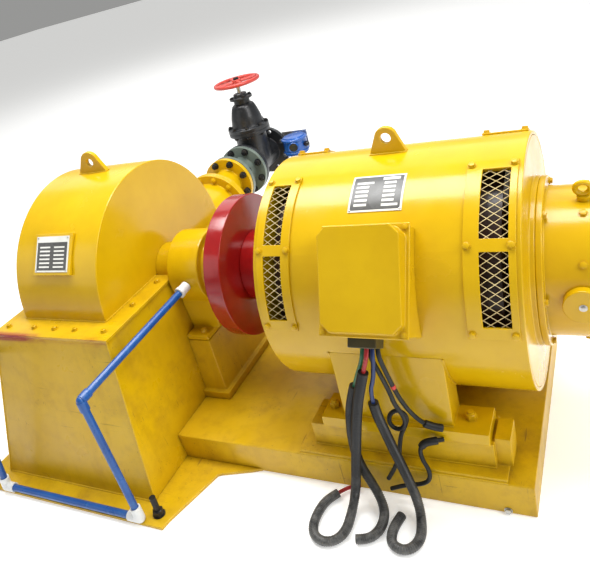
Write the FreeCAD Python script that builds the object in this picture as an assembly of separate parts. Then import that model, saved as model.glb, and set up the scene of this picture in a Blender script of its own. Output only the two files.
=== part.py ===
import FreeCAD, Part
import math
import os
from FreeCAD import Vector as V

# Small hydroelectric set: an impulse turbine drives a generator through a flywheel coupling.
# Millimetres. X runs along the shaft from the turbine to the exciter, Z is up, the floor is z = 0.
# The origin is on the floor, straight below the shaft, at the drive end of the generator.
# Angles about the shaft are in degrees above the horizontal front, which is the side of negative Y.

# --- driving dimensions -------------------------------------------------------------------------
shaft_height = 630
shaft_radius = 45
running_gap = 6
bearing_gap = 0.3
seat_gap = 0.3
press_gap = 0.6

base_start, base_end = -528, 785
base_margin = 63
base_height = 118

generator_radius = 400
generator_length = 797
generator_wall = 12
shield_wall = 14
shield_inset = 4
drive_boss_radius, drive_boss_length = 110, 26
bell_radius, bell_length = 262, 16

rotor_radius = 250
air_gap = 6
core_start, core_length = 150, 490
winding_overhang = 100
winding_inset = 40
winding_bore_step = 20

cover_thickness = 6
cover_angles = (-3, 73)
drive_cover_inset, drive_cover_length = 14, 116
drive_window_offset, drive_window_length = 24, 62
exciter_cover_inset, exciter_cover_length = 12, 135
exciter_window_offset, exciter_window_length = 42, 74
window_angles = ((37.5, 68), (2.5, 32.4))
window_margin = 5

foot_start, foot_end = 206, 562
foot_inset = 15
foot_depth = 100
foot_wall = 14
foot_plate_start, foot_plate_end = 130, 668
foot_plate_outset, foot_plate_depth = 23, 128
foot_plate_height = 42
rail_start, rail_end = 79, 676
rail_outset, rail_depth = 15, 130
rail_height = 91
strip_start, strip_end = 31, 712
strip_outset, strip_depth = 58, 181
strip_height = 14
stop_length, stop_depth, stop_height = 46, 95, 103

terminal_start, terminal_width, terminal_height = 271, 249, 308
terminal_tilt = 35
terminal_rise = 70
terminal_drop = 98
terminal_lid_thickness = 12
terminal_lid_overlap = 6
terminal_lid_recess = 4
tray_inset, tray_corner = 6, 26
tray_top_depth, tray_bottom_depth = 68, 22
spout_centre = 114.5
spout_width, spout_depth, spout_length = 84, 70, 34
spout_setback = 95

nameplate_thickness = 2
generator_nameplate_start, generator_nameplate_end = 313, 477
generator_nameplate_angles = (51, 70)

exciter_radius = 230
exciter_length = 199
exciter_wall = 14
exciter_flange_length = 18
exciter_cover_thickness = 25
exciter_cap_offset, exciter_cap_drop, exciter_cap_radius, exciter_cap_rise = 95, 9, 52, 25
eye_bolt_offset, eye_bolt_angle = 99, 77
eye_radius, eye_wire = 19, 8
eye_collar_radius, eye_collar_height = 17, 14

flywheel_radius = 276
flywheel_start, flywheel_width = -279, 69
hub_radius, hub_width = 137, 60

hood_radius = 446
hood_start, hood_end = -1059, -632
hood_wall = 10
flange_start, flange_end = -1145, -545
flange_half_width = 558
flange_thickness = 12
flange_rise = 12
casing_top_inset = 8
casing_bottom_start, casing_bottom_end = -1275, -490
casing_bottom_half_width = 684
pad_start, pad_end = -944, -750
pad_angles = (24.8, 45.6)
pad_rise = 10
pad_plate_margin = 12

sole_start, sole_end = -1375, -395
sole_half_width = 782
sole_thickness = 12
sole_cut = ((-387, 741), (-312, 511), (-298, 503), (-187, 465))
sole_tongue_end = -120
anchor_places = ((-440, 730), (-1330, 730))
anchor_radius, anchor_height = 12, 85
anchor_nut_radius, anchor_nut_height = 20, 20

bearing_radius = 150
bearing_start, bearing_end = -540, -395
bearing_cap_radius, bearing_cap_length = 120, 14
bearing_neck_half_width = 110
seal_radius = 100
bearing_foot_start, bearing_foot_end = -575, -425
bearing_foot_half_width = 170
bearing_foot_thickness = 24
bearing_foot_drop = 233
pedestal_flare = 28
pedestal_plate_outset = 20
pedestal_plate_height = 32

inlet_x, inlet_drop = -848, 13
pipe_radius = 84
pipe_wall = 6
pipe_flange_radius = 142.5
pipe_flange_thickness = 24
pipe_bolt_circle_radius = 120
pipe_bolt_hole_radius = 11
pipe_bolt_count = 8
gasket_thickness = 4
gasket_inset = 3
throat_drop, throat_radius, throat_wall = 80, 150, 8
throat_flange_radius, throat_flange_thickness = 194, 20
throat_end = 760
inlet_start = 954
spool_length = 181
valve_length = 330
valve_neck_radius = 92
bonnet_height = 190
bonnet_flange_radius, bonnet_flange_thickness = 121, 22
dome_radius, dome_top_radius, dome_height = 94, 64, 130
gland_radius, gland_height = 46, 60
stem_radius = 12
handwheel_height = 467
handwheel_radius, handwheel_rim = 134, 11
handwheel_hub_radius, handwheel_hub_height = 26, 28
spoke_radius, spoke_count = 9, 4
bracket_thickness = 6
bracket_reach = 275
converter_x, converter_rise = -622, 25
converter_radius, converter_length = 76, 110
converter_setback = 4

lug_thickness = 20
lug_hole_radius = 17
generator_lug_x, generator_lug_width, generator_lug_height = 386, 121, 86
turbine_lug_x, turbine_lug_width, turbine_lug_height = -852, 150, 88

water_pipe_radius = 14
water_knee_radius = 15.5
fitting_radius = 20
fitting_length = 48
nipple_x, nipple_drop = -459, 9
upper_elbow_x, upper_elbow_y, upper_elbow_drop = -548, -752, 92
lower_elbow = (-493, -772, 28)

# --- loose cables: radius and route, each chosen to lie as the wiring of such a set is left ------
lead_radius, conduit_radius, cable_radius = 6.5, 16, 7
cords = {
    "lead_green": (lead_radius, [
        (372, -490, 623.5), (371, -500, 609), (361, -500, 575), (340.3, -497.4, 532.5),
        (322, -496, 486)]),
    "conduit_green": (conduit_radius, [
        (322, -496, 486), (296, -494, 420), (276, -488, 340), (263, -482, 250), (262, -479, 176),
        (274, -480, 122), (296, -486, 76), (320, -502, 38), (342, -534, 18), (351, -576, 16),
        (346, -620, 16), (322, -654, 16), (286, -662, 16)]),
    "lead_red": (lead_radius, [
        (390, -504, 633.5), (390, -514, 619), (386, -518, 602), (379.1, -518.5, 582.5),
        (371, -520, 560)]),
    "conduit_red": (conduit_radius, [
        (371, -520, 560), (344, -525, 485), (316, -524, 380), (292, -520, 272), (270, -517, 170),
        (258, -515, 112), (248, -519, 66), (242, -539, 30), (242, -580, 16), (246, -636, 16),
        (229, -680, 16), (188, -698, 16), (148, -680, 16), (131, -638, 16), (131, -584, 16),
        (142, -534, 16), (170, -500, 16)]),
    "lead_red_tail": (lead_radius, [
        (170, -500, 16), (192, -473.3, 16), (214, -464, 18), (238, -461, 24)]),
    "lead_blue": (lead_radius, [
        (401, -489, 622), (401, -499, 607.5), (399, -503, 576), (390, -505, 526), (372, -506, 478),
        (372, -502, 434)]),
    "conduit_blue": (conduit_radius, [
        (372, -502, 434), (372, -498, 390), (384, -496, 328), (398, -496, 260), (414, -497, 194),
        (430, -500, 130), (445, -508, 78), (458, -528, 38), (469, -566, 18), (476, -612, 16),
        (462, -652, 16), (430, -667, 16), (397, -653, 16), (387, -620, 16), (389, -580, 16),
        (400, -540, 16)]),
    "cable_thin_1": (cable_radius, [
        (413, -480, 616.5), (414, -490, 602), (419, -486, 562), (424, -467, 490), (432, -450, 420),
        (450, -436, 356), (478, -428, 310), (508, -420, 288), (538, -411, 278)]),
    "cable_thin_2": (cable_radius, [
        (388, -479, 615.5), (388, -489, 601), (396, -486, 562), (407, -474, 498), (414, -464, 444),
        (420, -462, 398), (438, -460, 362), (442, -458, 326), (424, -458, 298), (398, -456, 298),
        (386, -454, 322), (394, -448, 350), (420, -444, 364), (444, -440, 338), (432, -440, 300),
        (412, -444, 262), (404, -452, 222), (396, -458, 176), (374, -464, 130), (348, -466, 86)]),
    "cable_thin_3": (cable_radius, [
        (534, -414.3, 236), (504, -432, 240), (478, -438, 234), (462, -444, 208), (468, -450, 172),
        (486, -456, 138), (484, -464, 106), (460, -468, 88), (420, -470, 78), (386, -471, 66),
        (352, -470, 46)]),
}

# --- places that follow from the dimensions -------------------------------------------------------
foot_face = generator_radius - foot_inset
base_half_width = foot_face + base_margin
terminal_reach = generator_radius + terminal_rise
core_end = core_start + core_length
exciter_face = generator_length + bell_length
exciter_start = exciter_face + exciter_flange_length
exciter_end = exciter_start + exciter_length
exciter_cap_x = exciter_start + exciter_cap_offset
eye_bolt_x = exciter_start + eye_bolt_offset
turbine_centre = (hood_start + hood_end) / 2
flange_top = shaft_height + flange_rise
bearing_foot_top = shaft_height - bearing_foot_drop
inlet_height = shaft_height - inlet_drop
throat_height = shaft_height - throat_drop
converter_height = shaft_height + converter_rise
foot_plate_top = base_height + strip_height + rail_height + foot_plate_height
spool_start = inlet_start + gasket_thickness
valve_start = spool_start + spool_length + gasket_thickness
valve_end = valve_start + valve_length
stem_y = valve_start + valve_length / 2
handwheel_z = inlet_height + handwheel_height
gland_top = inlet_height + bonnet_height + bonnet_flange_thickness + dome_height + gland_height


# --- plain shapes -------------------------------------------------------------------------------
def box(x0, x1, y0, y1, z0, z1):
    return Part.makeBox(x1 - x0, y1 - y0, z1 - z0, V(x0, y0, z0))


def cylinder_x(x0, x1, radius):
    return Part.makeCylinder(radius, x1 - x0, V(x0, 0, shaft_height), V(1, 0, 0))


def cylinder_y(y0, y1, radius, x=inlet_x, z=inlet_height):
    return Part.makeCylinder(radius, y1 - y0, V(x, y0, z), V(0, 1, 0))


def cylinder_z(z0, z1, radius, x=inlet_x, y=stem_y):
    return Part.makeCylinder(radius, z1 - z0, V(x, y, z0), V(0, 0, 1))


def ring_x(x0, x1, outer, inner):
    return cylinder_x(x0, x1, outer).cut(cylinder_x(x0 - 1, x1 + 1, inner))


def ring_y(y0, y1, outer, inner, x=inlet_x, z=inlet_height):
    return cylinder_y(y0, y1, outer, x, z).cut(cylinder_y(y0 - 1, y1 + 1, inner, x, z))


def rod(start, end, radius):
    run = V(*end) - V(*start)
    return Part.makeCylinder(radius, run.Length, V(*start), run)


def rectangle(x0, x1, y0, y1, z):
    return Part.makePolygon([V(x0, y0, z), V(x1, y0, z), V(x1, y1, z), V(x0, y1, z), V(x0, y0, z)])


def tapered_box(bottom, top):
    return Part.makeLoft([rectangle(*bottom), rectangle(*top)], True, True)


def prism(points, direction):
    outline = Part.makePolygon([V(*p) for p in points] + [V(*points[0])])
    return Part.Face(outline).extrude(V(*direction))


def rear_twin(shape):
    return shape.mirror(V(0, 0, 0), V(0, 1, 0))


def outer_twin(shape):
    """The same piece on the other side of the turbine."""
    return shape.mirror(V(turbine_centre, 0, 0), V(1, 0, 0))


def on_shaft(radius, degrees):
    """Y and Z of a point at a radius from the shaft."""
    turn = math.radians(degrees)
    return -radius * math.cos(turn), shaft_height + radius * math.sin(turn)


def wedge(x0, x1, inner, outer, low, high):
    """Piece of a ring about the shaft between two angles."""
    corners = [(inner, low), (outer, low), (outer, high), (inner, high)]
    a, b, c, d = [V(x0, *on_shaft(radius, angle)) for radius, angle in corners]
    outer_mid = V(x0, *on_shaft(outer, (low + high) / 2))
    inner_mid = V(x0, *on_shaft(inner, (low + high) / 2))
    outline = Part.Wire([
        Part.LineSegment(a, b).toShape(),
        Part.Arc(b, outer_mid, c).toShape(),
        Part.LineSegment(c, d).toShape(),
        Part.Arc(d, inner_mid, a).toShape(),
    ])
    return Part.Face(outline).extrude(V(x1 - x0, 0, 0))


def tilted_slab(tilt, x0, x1, low, high, near, far):
    """Slab square to a direction from the shaft: low and high go up along it, near and far outwards."""
    turn = math.radians(tilt)
    out, up = V(0, -math.cos(turn), math.sin(turn)), V(0, math.sin(turn), math.cos(turn))
    start = V(x0, 0, shaft_height) + out * near
    along = V(x1 - x0, 0, 0)
    corners = [start + up * low, start + up * low + along, start + up * high + along, start + up * high]
    return Part.Face(Part.makePolygon(corners + [corners[0]])).extrude(out * (far - near))


def save(name, *shapes):
    whole = shapes[0] if len(shapes) == 1 else Part.makeCompound(shapes)
    whole.exportStep("parts/%s.step" % name)


# --- generator ----------------------------------------------------------------------------------
drive_cover_start = drive_cover_inset
exciter_cover_start = generator_length - exciter_cover_inset - exciter_cover_length
covers = (
    (drive_cover_start, drive_cover_length, drive_window_offset, drive_window_length),
    (exciter_cover_start, exciter_cover_length, exciter_window_offset, exciter_window_length),
)


def generator_windows(margin):
    reach = 3 * generator_wall
    sweep = math.degrees(margin / generator_radius)
    cuts = []
    for start, _, offset, length in covers:
        for low, high in window_angles:
            cuts.append(wedge(start + offset - margin, start + offset + length + margin,
                              generator_radius - reach, generator_radius + reach, low - sweep, high + sweep))
    return cuts + [rear_twin(cut) for cut in cuts]


def generator_shell():
    shell = ring_x(0, generator_length, generator_radius, generator_radius - generator_wall)
    return shell.cut(generator_windows(window_margin))


def vent_covers():
    """Front covers of both ends, clear of each other."""
    inner = generator_radius + seat_gap
    return [wedge(start, start + length, inner, inner + cover_thickness, *cover_angles)
            .cut(generator_windows(0)) for start, length, _, _ in covers]


def stator():
    bore = rotor_radius + air_gap
    outer = generator_radius - generator_wall - press_gap
    core = ring_x(core_start, core_end, outer, bore)
    winding = (outer - winding_inset, bore + winding_bore_step)
    return core.fuse([ring_x(core_start - winding_overhang, core_start, *winding),
                      ring_x(core_end, core_end + winding_overhang, *winding)])


def shaft_passage(x0, x1):
    return cylinder_x(x0, x1, shaft_radius + running_gap)


def drive_shield():
    inner = generator_radius - generator_wall - press_gap
    plate = cylinder_x(shield_inset, shield_inset + shield_wall, inner)
    boss = cylinder_x(shield_inset - drive_boss_length, shield_inset, drive_boss_radius)
    return plate.fuse(boss).cut(shaft_passage(-100, 100))


def exciter_shield():
    inner = generator_radius - generator_wall - press_gap
    plate = cylinder_x(generator_length - shield_wall, generator_length, inner)
    bell = cylinder_x(generator_length, exciter_face, bell_radius)
    return plate.fuse(bell).cut(shaft_passage(generator_length - 100, generator_length + 100))


def generator_foot():
    low, back = foot_plate_top, -foot_face + foot_depth
    block = box(foot_start, foot_end, -foot_face, back, low, shaft_height)
    middle = (foot_start + foot_end) / 2
    half_wall = foot_wall / 2
    bays = [box(x0, x1, -foot_face + foot_wall, back + 1, low - 1, shaft_height)
            for x0, x1 in ((foot_start + foot_wall, middle - half_wall),
                           (middle + half_wall, foot_end - foot_wall))]
    webs = block.cut(bays + [cylinder_x(0, generator_length, generator_radius + seat_gap)])
    front = -foot_face - foot_plate_outset
    plate = box(foot_plate_start, foot_plate_end, front, front + foot_plate_depth,
                low - foot_plate_height, low)
    return webs.fuse(plate).removeSplitter()


def sole_rail():
    strip_front, rail_front = -foot_face - strip_outset, -foot_face - rail_outset
    strip_top = base_height + strip_height
    strip = box(strip_start, strip_end, strip_front, strip_front + strip_depth, base_height, strip_top)
    rail = box(rail_start, rail_end, rail_front, rail_front + rail_depth, strip_top, strip_top + rail_height)
    stop = box(rail_end, rail_end + stop_length, -foot_face, -foot_face + stop_depth,
               strip_top, strip_top + stop_height)
    return strip.fuse([rail, stop]).removeSplitter()


def lifting_lug(x, crown, width, height):
    """Plate standing along the shaft, with a round top about its hole."""
    top_radius = width * 0.3
    eye = height - top_radius
    lean = math.asin(min(1, (width / 2 - top_radius) / eye)) / 2
    foot_left, foot_right = V(x - width / 2, 0, crown), V(x + width / 2, 0, crown)
    centre = V(x, 0, crown + eye)
    reach, rise = top_radius * math.cos(lean), top_radius * math.sin(lean)
    right, left, top = centre + V(reach, 0, rise), centre + V(-reach, 0, rise), centre + V(0, 0, top_radius)
    outline = Part.Wire([
        Part.LineSegment(foot_left, foot_right).toShape(),
        Part.LineSegment(foot_right, right).toShape(),
        Part.Arc(right, top, left).toShape(),
        Part.LineSegment(left, foot_left).toShape(),
    ])
    plate = Part.Face(outline).extrude(V(0, lug_thickness, 0))
    plate.translate(V(0, -lug_thickness / 2, 0))
    return plate.cut(cylinder_y(-lug_thickness, lug_thickness, lug_hole_radius, x, crown + eye))


def lifting_lugs():
    crown = shaft_height + seat_gap
    return (lifting_lug(generator_lug_x, crown + generator_radius, generator_lug_width, generator_lug_height),
            lifting_lug(turbine_lug_x, crown + hood_radius, turbine_lug_width, turbine_lug_height))


def generator_nameplate():
    inner = generator_radius + seat_gap
    return wedge(generator_nameplate_start, generator_nameplate_end, inner, inner + nameplate_thickness,
                 *generator_nameplate_angles)


def terminal_slab(margin, near, far):
    """Slab parallel to the terminal box's lid, grown by a margin, between two distances from the shaft."""
    low, high = -terminal_drop - terminal_height / 2, -terminal_drop + terminal_height / 2
    return tilted_slab(terminal_tilt, terminal_start - margin, terminal_start + terminal_width + margin,
                       low - margin, high + margin, near, far)


def terminal_box():
    body = terminal_slab(0, generator_radius * 0.6, terminal_reach - terminal_lid_thickness)
    return body.cut(cylinder_x(0, generator_length, generator_radius + seat_gap))


def lid_point(x, up, out):
    """Point by its place along the shaft, up along the lid and out from the shaft."""
    turn = math.radians(terminal_tilt)
    return V(x, up * math.sin(turn) - out * math.cos(turn),
             shaft_height + up * math.cos(turn) + out * math.sin(turn))


def terminal_lid():
    """Rim plate with a tray on it, its corners cut for the screws, which stands out further at its top."""
    face = terminal_reach - terminal_lid_recess
    plate = terminal_slab(terminal_lid_overlap, terminal_reach - terminal_lid_thickness, face)
    x0, x1 = terminal_start + tray_inset, terminal_start + terminal_width - tray_inset
    low = -terminal_drop - terminal_height / 2 + tray_inset
    high, cut = low + terminal_height - 2 * tray_inset, tray_corner
    outline = [lid_point(x, up, face) for x, up in (
        (x0 + cut, low), (x1 - cut, low), (x1, low + cut), (x1, high - cut),
        (x1 - cut, high), (x0 + cut, high), (x0, high - cut), (x0, low + cut))]
    out = lid_point(0, 0, 1) - lid_point(0, 0, 0)
    tray = Part.Face(Part.makePolygon(outline + [outline[0]])).extrude(out * tray_top_depth)
    slope = [lid_point(x0 - 1, up, face + depth) for up, depth in (
        (low, tray_bottom_depth), (high, tray_top_depth), (high, 2 * tray_top_depth), (low, 2 * tray_top_depth))]
    beyond = Part.Face(Part.makePolygon(slope + [slope[0]])).extrude(V(x1 - x0 + 2, 0, 0))
    return plate.fuse(tray.cut(beyond)).removeSplitter()


def cable_spout():
    centre = terminal_start + spout_centre
    low = -terminal_drop - terminal_height / 2
    near = terminal_reach - spout_setback
    return tilted_slab(terminal_tilt, centre - spout_width / 2, centre + spout_width / 2,
                       low - spout_length, low, near, near + spout_depth)


# --- exciter ------------------------------------------------------------------------------------
def exciter_housing():
    inner = exciter_radius - exciter_wall
    flange = ring_x(exciter_face, exciter_start, bell_radius, inner)
    return flange.fuse(ring_x(exciter_start, exciter_end, exciter_radius, inner))


def exciter_end_cover():
    return cylinder_x(exciter_end, exciter_end + exciter_cover_thickness, exciter_radius)


def exciter_side_cap():
    cap = cylinder_y(-exciter_radius - exciter_cap_rise, 0, exciter_cap_radius,
                     exciter_cap_x, shaft_height - exciter_cap_drop)
    return cap.cut(cylinder_x(exciter_face, exciter_end, exciter_radius + seat_gap))


def exciter_eye_bolt():
    turn = math.radians(eye_bolt_angle)
    out = V(0, -math.cos(turn), math.sin(turn))
    seat = V(eye_bolt_x, 0, shaft_height) + out * (exciter_radius + seat_gap)
    collar = Part.makeCylinder(eye_collar_radius, eye_collar_height, seat, out)
    ring_centre = seat + out * (eye_collar_height + eye_radius + eye_wire / 2)
    return collar.fuse(Part.makeTorus(eye_radius, eye_wire, ring_centre, V(0, 1, 0).cross(out).cross(out)))


# --- rotating parts -----------------------------------------------------------------------------
def flywheel():
    return ring_x(flywheel_start, flywheel_start + flywheel_width, flywheel_radius, shaft_radius)


def coupling_hub():
    start = flywheel_start + flywheel_width
    return ring_x(start, start + hub_width, hub_radius, shaft_radius)


def rotor_shaft():
    outer_end = 2 * turbine_centre - bearing_end
    return cylinder_x(outer_end, exciter_end - exciter_cover_thickness, shaft_radius)


def rotor():
    return ring_x(core_start, core_end, rotor_radius, shaft_radius)


# --- turbine ------------------------------------------------------------------------------------
def turbine_hood():
    bore = cylinder_x(hood_start + hood_wall, hood_end - hood_wall, hood_radius - hood_wall)
    drum = cylinder_x(hood_start, hood_end, hood_radius).cut(bore)
    below = box(hood_start - 1, hood_end + 1, -hood_radius - 1, hood_radius + 1, 0, flange_top)
    return drum.cut([below, shaft_passage(hood_start - 10, hood_end + 10)])


def pad_reach():
    """Distance from the shaft to the face of the nameplate's pad."""
    return hood_radius + pad_rise


def pad_slab(margin, near, far):
    middle = sum(pad_angles) / 2
    half = hood_radius * math.sin(math.radians(pad_angles[1] - middle)) - margin
    return tilted_slab(middle, pad_start + margin, pad_end - margin, -half, half, near, far)


def turbine_nameplate_pad():
    slab = pad_slab(0, hood_radius - pad_rise * 3, pad_reach())
    return slab.cut(cylinder_x(hood_start, hood_end, hood_radius + seat_gap))


def turbine_nameplate():
    return pad_slab(pad_plate_margin, pad_reach(), pad_reach() + nameplate_thickness)


def seal_space():
    return cylinder_x(casing_bottom_start, casing_bottom_end, seal_radius + seat_gap)


def casing_flange():
    """Front half of the flange that joins the hood to the casing."""
    plate = box(flange_start, flange_end, -flange_half_width, 0, flange_top - flange_thickness, flange_top)
    mouth = box(hood_start + hood_wall, hood_end - hood_wall, -hood_radius + hood_wall,
                hood_radius - hood_wall, 0, flange_top + 1)
    return plate.cut([mouth, seal_space()])


def turbine_casing():
    inset, half = casing_top_inset, flange_half_width - casing_top_inset
    body = tapered_box(
        (casing_bottom_start, casing_bottom_end, -casing_bottom_half_width, casing_bottom_half_width,
         sole_thickness),
        (flange_start + inset, flange_end - inset, -half, half, flange_top - flange_thickness))
    return body.cut(seal_space())


def bed_footprint():
    return box(base_start, base_end, -base_half_width, base_half_width, 0, base_height)


def turbine_sole():
    front = [(sole_start, -sole_half_width), (sole_end, -sole_half_width)]
    front += [(x, -y) for x, y in sole_cut] + [(sole_tongue_end, -base_half_width + sole_thickness)]
    rear = [(x, -y) for x, y in reversed(front)]
    plate = prism([(x, y, 0) for x, y in front + rear], (0, 0, sole_thickness))
    return plate.cut(bed_footprint())


def anchor_bolts():
    bolts = []
    for x, y in anchor_places:
        for side in (-y, y):
            stud = cylinder_z(sole_thickness, sole_thickness + anchor_height, anchor_radius, x, side)
            nut = cylinder_z(sole_thickness, sole_thickness + anchor_nut_height, anchor_nut_radius, x, side)
            bolts.append(stud.fuse(nut))
    return bolts


# --- base frame ---------------------------------------------------------------------------------
def base_frame():
    return bed_footprint().cut(turbine_casing())


# --- bearings -----------------------------------------------------------------------------------
def clear_of_turbine(shape):
    return shape.cut([turbine_casing(), casing_flange(), rear_twin(casing_flange())])


def bearing_housing():
    body = cylinder_x(bearing_start, bearing_end, bearing_radius)
    cap = cylinder_x(bearing_end, bearing_end + bearing_cap_length, bearing_cap_radius)
    neck = box(bearing_start, bearing_end, -bearing_neck_half_width, bearing_neck_half_width,
               bearing_foot_top, shaft_height)
    foot = box(bearing_foot_start, bearing_foot_end, -bearing_foot_half_width, bearing_foot_half_width,
               bearing_foot_top - bearing_foot_thickness, bearing_foot_top)
    bore = cylinder_x(bearing_foot_start, bearing_end + 2 * bearing_cap_length, shaft_radius + bearing_gap)
    return body.fuse([cap, neck, foot]).cut(bore)


def bearing_housings():
    return [clear_of_turbine(housing) for housing in (bearing_housing(), outer_twin(bearing_housing()))]


def bearing_pedestal(floor):
    """Flared block from its floor plate up to the bearing's foot."""
    low, flare, half = floor + pedestal_plate_height, pedestal_flare, bearing_foot_half_width
    wide, grown = half + flare, flare + pedestal_plate_outset
    body = tapered_box(
        (bearing_foot_start, bearing_foot_end + flare, -wide, wide, low),
        (bearing_foot_start, bearing_foot_end, -half, half, bearing_foot_top - bearing_foot_thickness))
    plate = box(bearing_foot_start, bearing_foot_end + grown, -half - grown, half + grown, floor, low)
    return body.fuse(plate)


def bearing_pedestals():
    """One on the base frame and one on the turbine's sole plate."""
    return [clear_of_turbine(bearing_pedestal(base_height)),
            clear_of_turbine(outer_twin(bearing_pedestal(sole_thickness)))]


def shaft_seal():
    return ring_x(hood_end + seat_gap, bearing_start - seat_gap, seal_radius, shaft_radius + running_gap)


# --- inlet --------------------------------------------------------------------------------------
def flange_holes(start, end):
    holes = []
    for i in range(pipe_bolt_count):
        turn = 2 * math.pi * (i + 0.5) / pipe_bolt_count
        holes.append(cylinder_y(start - 1, end + 1, pipe_bolt_hole_radius,
                                inlet_x + pipe_bolt_circle_radius * math.cos(turn),
                                inlet_height + pipe_bolt_circle_radius * math.sin(turn)))
    return holes


def pipe_flange(start, thickness=pipe_flange_thickness):
    end = start + thickness
    return ring_y(start, end, pipe_flange_radius, pipe_radius - pipe_wall).cut(flange_holes(start, end))


def pipe_run(start, end):
    tube = ring_y(start, end, pipe_radius, pipe_radius - pipe_wall)
    return tube.fuse([pipe_flange(start), pipe_flange(end - pipe_flange_thickness)])


def nozzle_throat():
    inner = throat_radius - throat_wall
    tube = ring_y(flange_half_width - 10, throat_end, throat_radius, inner, z=throat_height)
    flange = ring_y(throat_end - throat_flange_thickness, throat_end, throat_flange_radius, inner,
                    z=throat_height)
    return tube.fuse(flange).cut([turbine_casing(), rear_twin(casing_flange())])


def inlet_cone(large, small):
    """Round taper from the throat's flange to the pipe's flange."""
    ends = ((throat_end, throat_height, large), (inlet_start - pipe_flange_thickness, inlet_height, small))
    rings = [Part.Wire(Part.makeCircle(radius, V(inlet_x, y, z), V(0, 1, 0))) for y, z, radius in ends]
    return Part.makeLoft(rings, True, True)


def inlet_reducer():
    flange = cylinder_y(throat_end, throat_end + throat_flange_thickness, throat_flange_radius,
                        z=throat_height)
    last = cylinder_y(inlet_start - pipe_flange_thickness, inlet_start, pipe_flange_radius)
    small = pipe_radius - pipe_wall
    bore = inlet_cone(throat_radius - throat_wall, small)
    outlet = cylinder_y(inlet_start - pipe_flange_thickness, inlet_start + 1, small)
    solid = inlet_cone(throat_radius, pipe_radius).fuse([flange, last])
    return solid.cut([bore, outlet] + flange_holes(inlet_start - pipe_flange_thickness, inlet_start))


def pipe_gaskets():
    return [ring_y(y, y + gasket_thickness, pipe_bolt_circle_radius - pipe_bolt_hole_radius, pipe_radius)
            for y in (inlet_start, spool_start + spool_length)]


def gate_valve_body():
    run = pipe_run(valve_start, valve_end)
    bonnet_low = inlet_height + bonnet_height - bonnet_flange_thickness
    neck = cylinder_z(inlet_height, bonnet_low, valve_neck_radius)
    flange = cylinder_z(bonnet_low, bonnet_low + bonnet_flange_thickness, bonnet_flange_radius)
    bore = cylinder_y(valve_start - 1, valve_end + 1, pipe_radius - pipe_wall)
    return run.fuse([neck, flange]).cut(bore)


def gate_valve_bonnet():
    low = inlet_height + bonnet_height
    dome_low = low + bonnet_flange_thickness
    flange = cylinder_z(low, dome_low, bonnet_flange_radius)
    dome = Part.makeCone(dome_radius, dome_top_radius, dome_height, V(inlet_x, stem_y, dome_low))
    gland = cylinder_z(dome_low + dome_height, gland_top, gland_radius)
    stem_hole = cylinder_z(low + bonnet_flange_thickness, gland_top + 1, stem_radius + seat_gap)
    return flange.fuse([dome, gland]).cut(stem_hole)


def valve_stem():
    low = inlet_height + bonnet_height + bonnet_flange_thickness + running_gap
    return cylinder_z(low, handwheel_z + handwheel_hub_height / 2, stem_radius)


def handwheel():
    centre = V(inlet_x, stem_y, handwheel_z)
    reach = handwheel_radius - handwheel_rim
    rim = Part.makeTorus(reach, handwheel_rim, centre)
    half = handwheel_hub_height / 2
    hub = cylinder_z(handwheel_z - half, handwheel_z + half, handwheel_hub_radius)
    turns = [2 * math.pi * (i + 0.5) / spoke_count for i in range(spoke_count)]
    spokes = [Part.makeCylinder(spoke_radius, reach, centre, V(math.cos(a), math.sin(a), 0)) for a in turns]
    stem_hole = cylinder_z(handwheel_z - 2 * half, handwheel_z + 2 * half, stem_radius)
    return hub.fuse(spokes + [rim]).cut(stem_hole)


def converter_bracket():
    """Drilled ring bolted on the valve's last flange, with an ear that carries the converter."""
    end = valve_end + bracket_thickness
    half = converter_length / 2
    ear = box(inlet_x + pipe_flange_radius * 0.8, inlet_x + bracket_reach, valve_end, end,
              converter_height - half, converter_height + half)
    bore = cylinder_y(valve_end - 1, end + 1, pipe_radius - pipe_wall)
    return pipe_flange(valve_end, bracket_thickness).fuse(ear).cut([bore] + flange_holes(valve_end, end))


def flow_converter():
    y = valve_end - converter_radius - converter_setback
    half = converter_length / 2
    head = cylinder_z(converter_height - half, converter_height + half, converter_radius, converter_x, y)
    boss = box(converter_x - half / 2, converter_x + half / 2, y, valve_end,
               converter_height - half / 2, converter_height + half / 2)
    return head.fuse(boss)


# --- cooling water ------------------------------------------------------------------------------
def pipe_corners():
    """Corners of the cooling pipe from the drive bearing round the turbine's front to the outer one."""
    near = [(nipple_x, -bearing_radius, shaft_height - nipple_drop),
            (upper_elbow_x, upper_elbow_y, shaft_height - upper_elbow_drop), lower_elbow]
    return near + [(2 * turbine_centre - x, y, z) for x, y, z in reversed(near)]


def pipe_line():
    corners = pipe_corners()
    runs = [rod(a, b, water_pipe_radius) for a, b in zip(corners, corners[1:])]
    knees = [Part.makeSphere(water_knee_radius, V(*corner)) for corner in corners[1:-1]]
    return runs[0].fuse(runs[1:] + knees)


def cooling_pipe():
    return pipe_line().cut(bearing_housings())


def fitting(corner, other):
    """Socket round the pipe that starts at one corner and points at the next."""
    start, run = V(*corner), V(*other) - V(*corner)
    return Part.makeCylinder(fitting_radius, fitting_length, start, run)


def cooling_fittings():
    corners = pipe_corners()
    near_nipple, far_nipple = fitting(corners[0], corners[1]), fitting(corners[5], corners[4])
    elbows = []
    for i in (2, 3):
        knee = Part.makeSphere(fitting_radius, V(*corners[i]))
        elbows.append(knee.fuse([fitting(corners[i], corners[i - 1]), fitting(corners[i], corners[i + 1])]))
    sole_space = box(sole_start, 0, -sole_half_width, 0, -100, sole_thickness)
    return [piece.cut([pipe_line(), sole_space] + bearing_housings())
            for piece in [near_nipple, far_nipple] + elbows]


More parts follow.
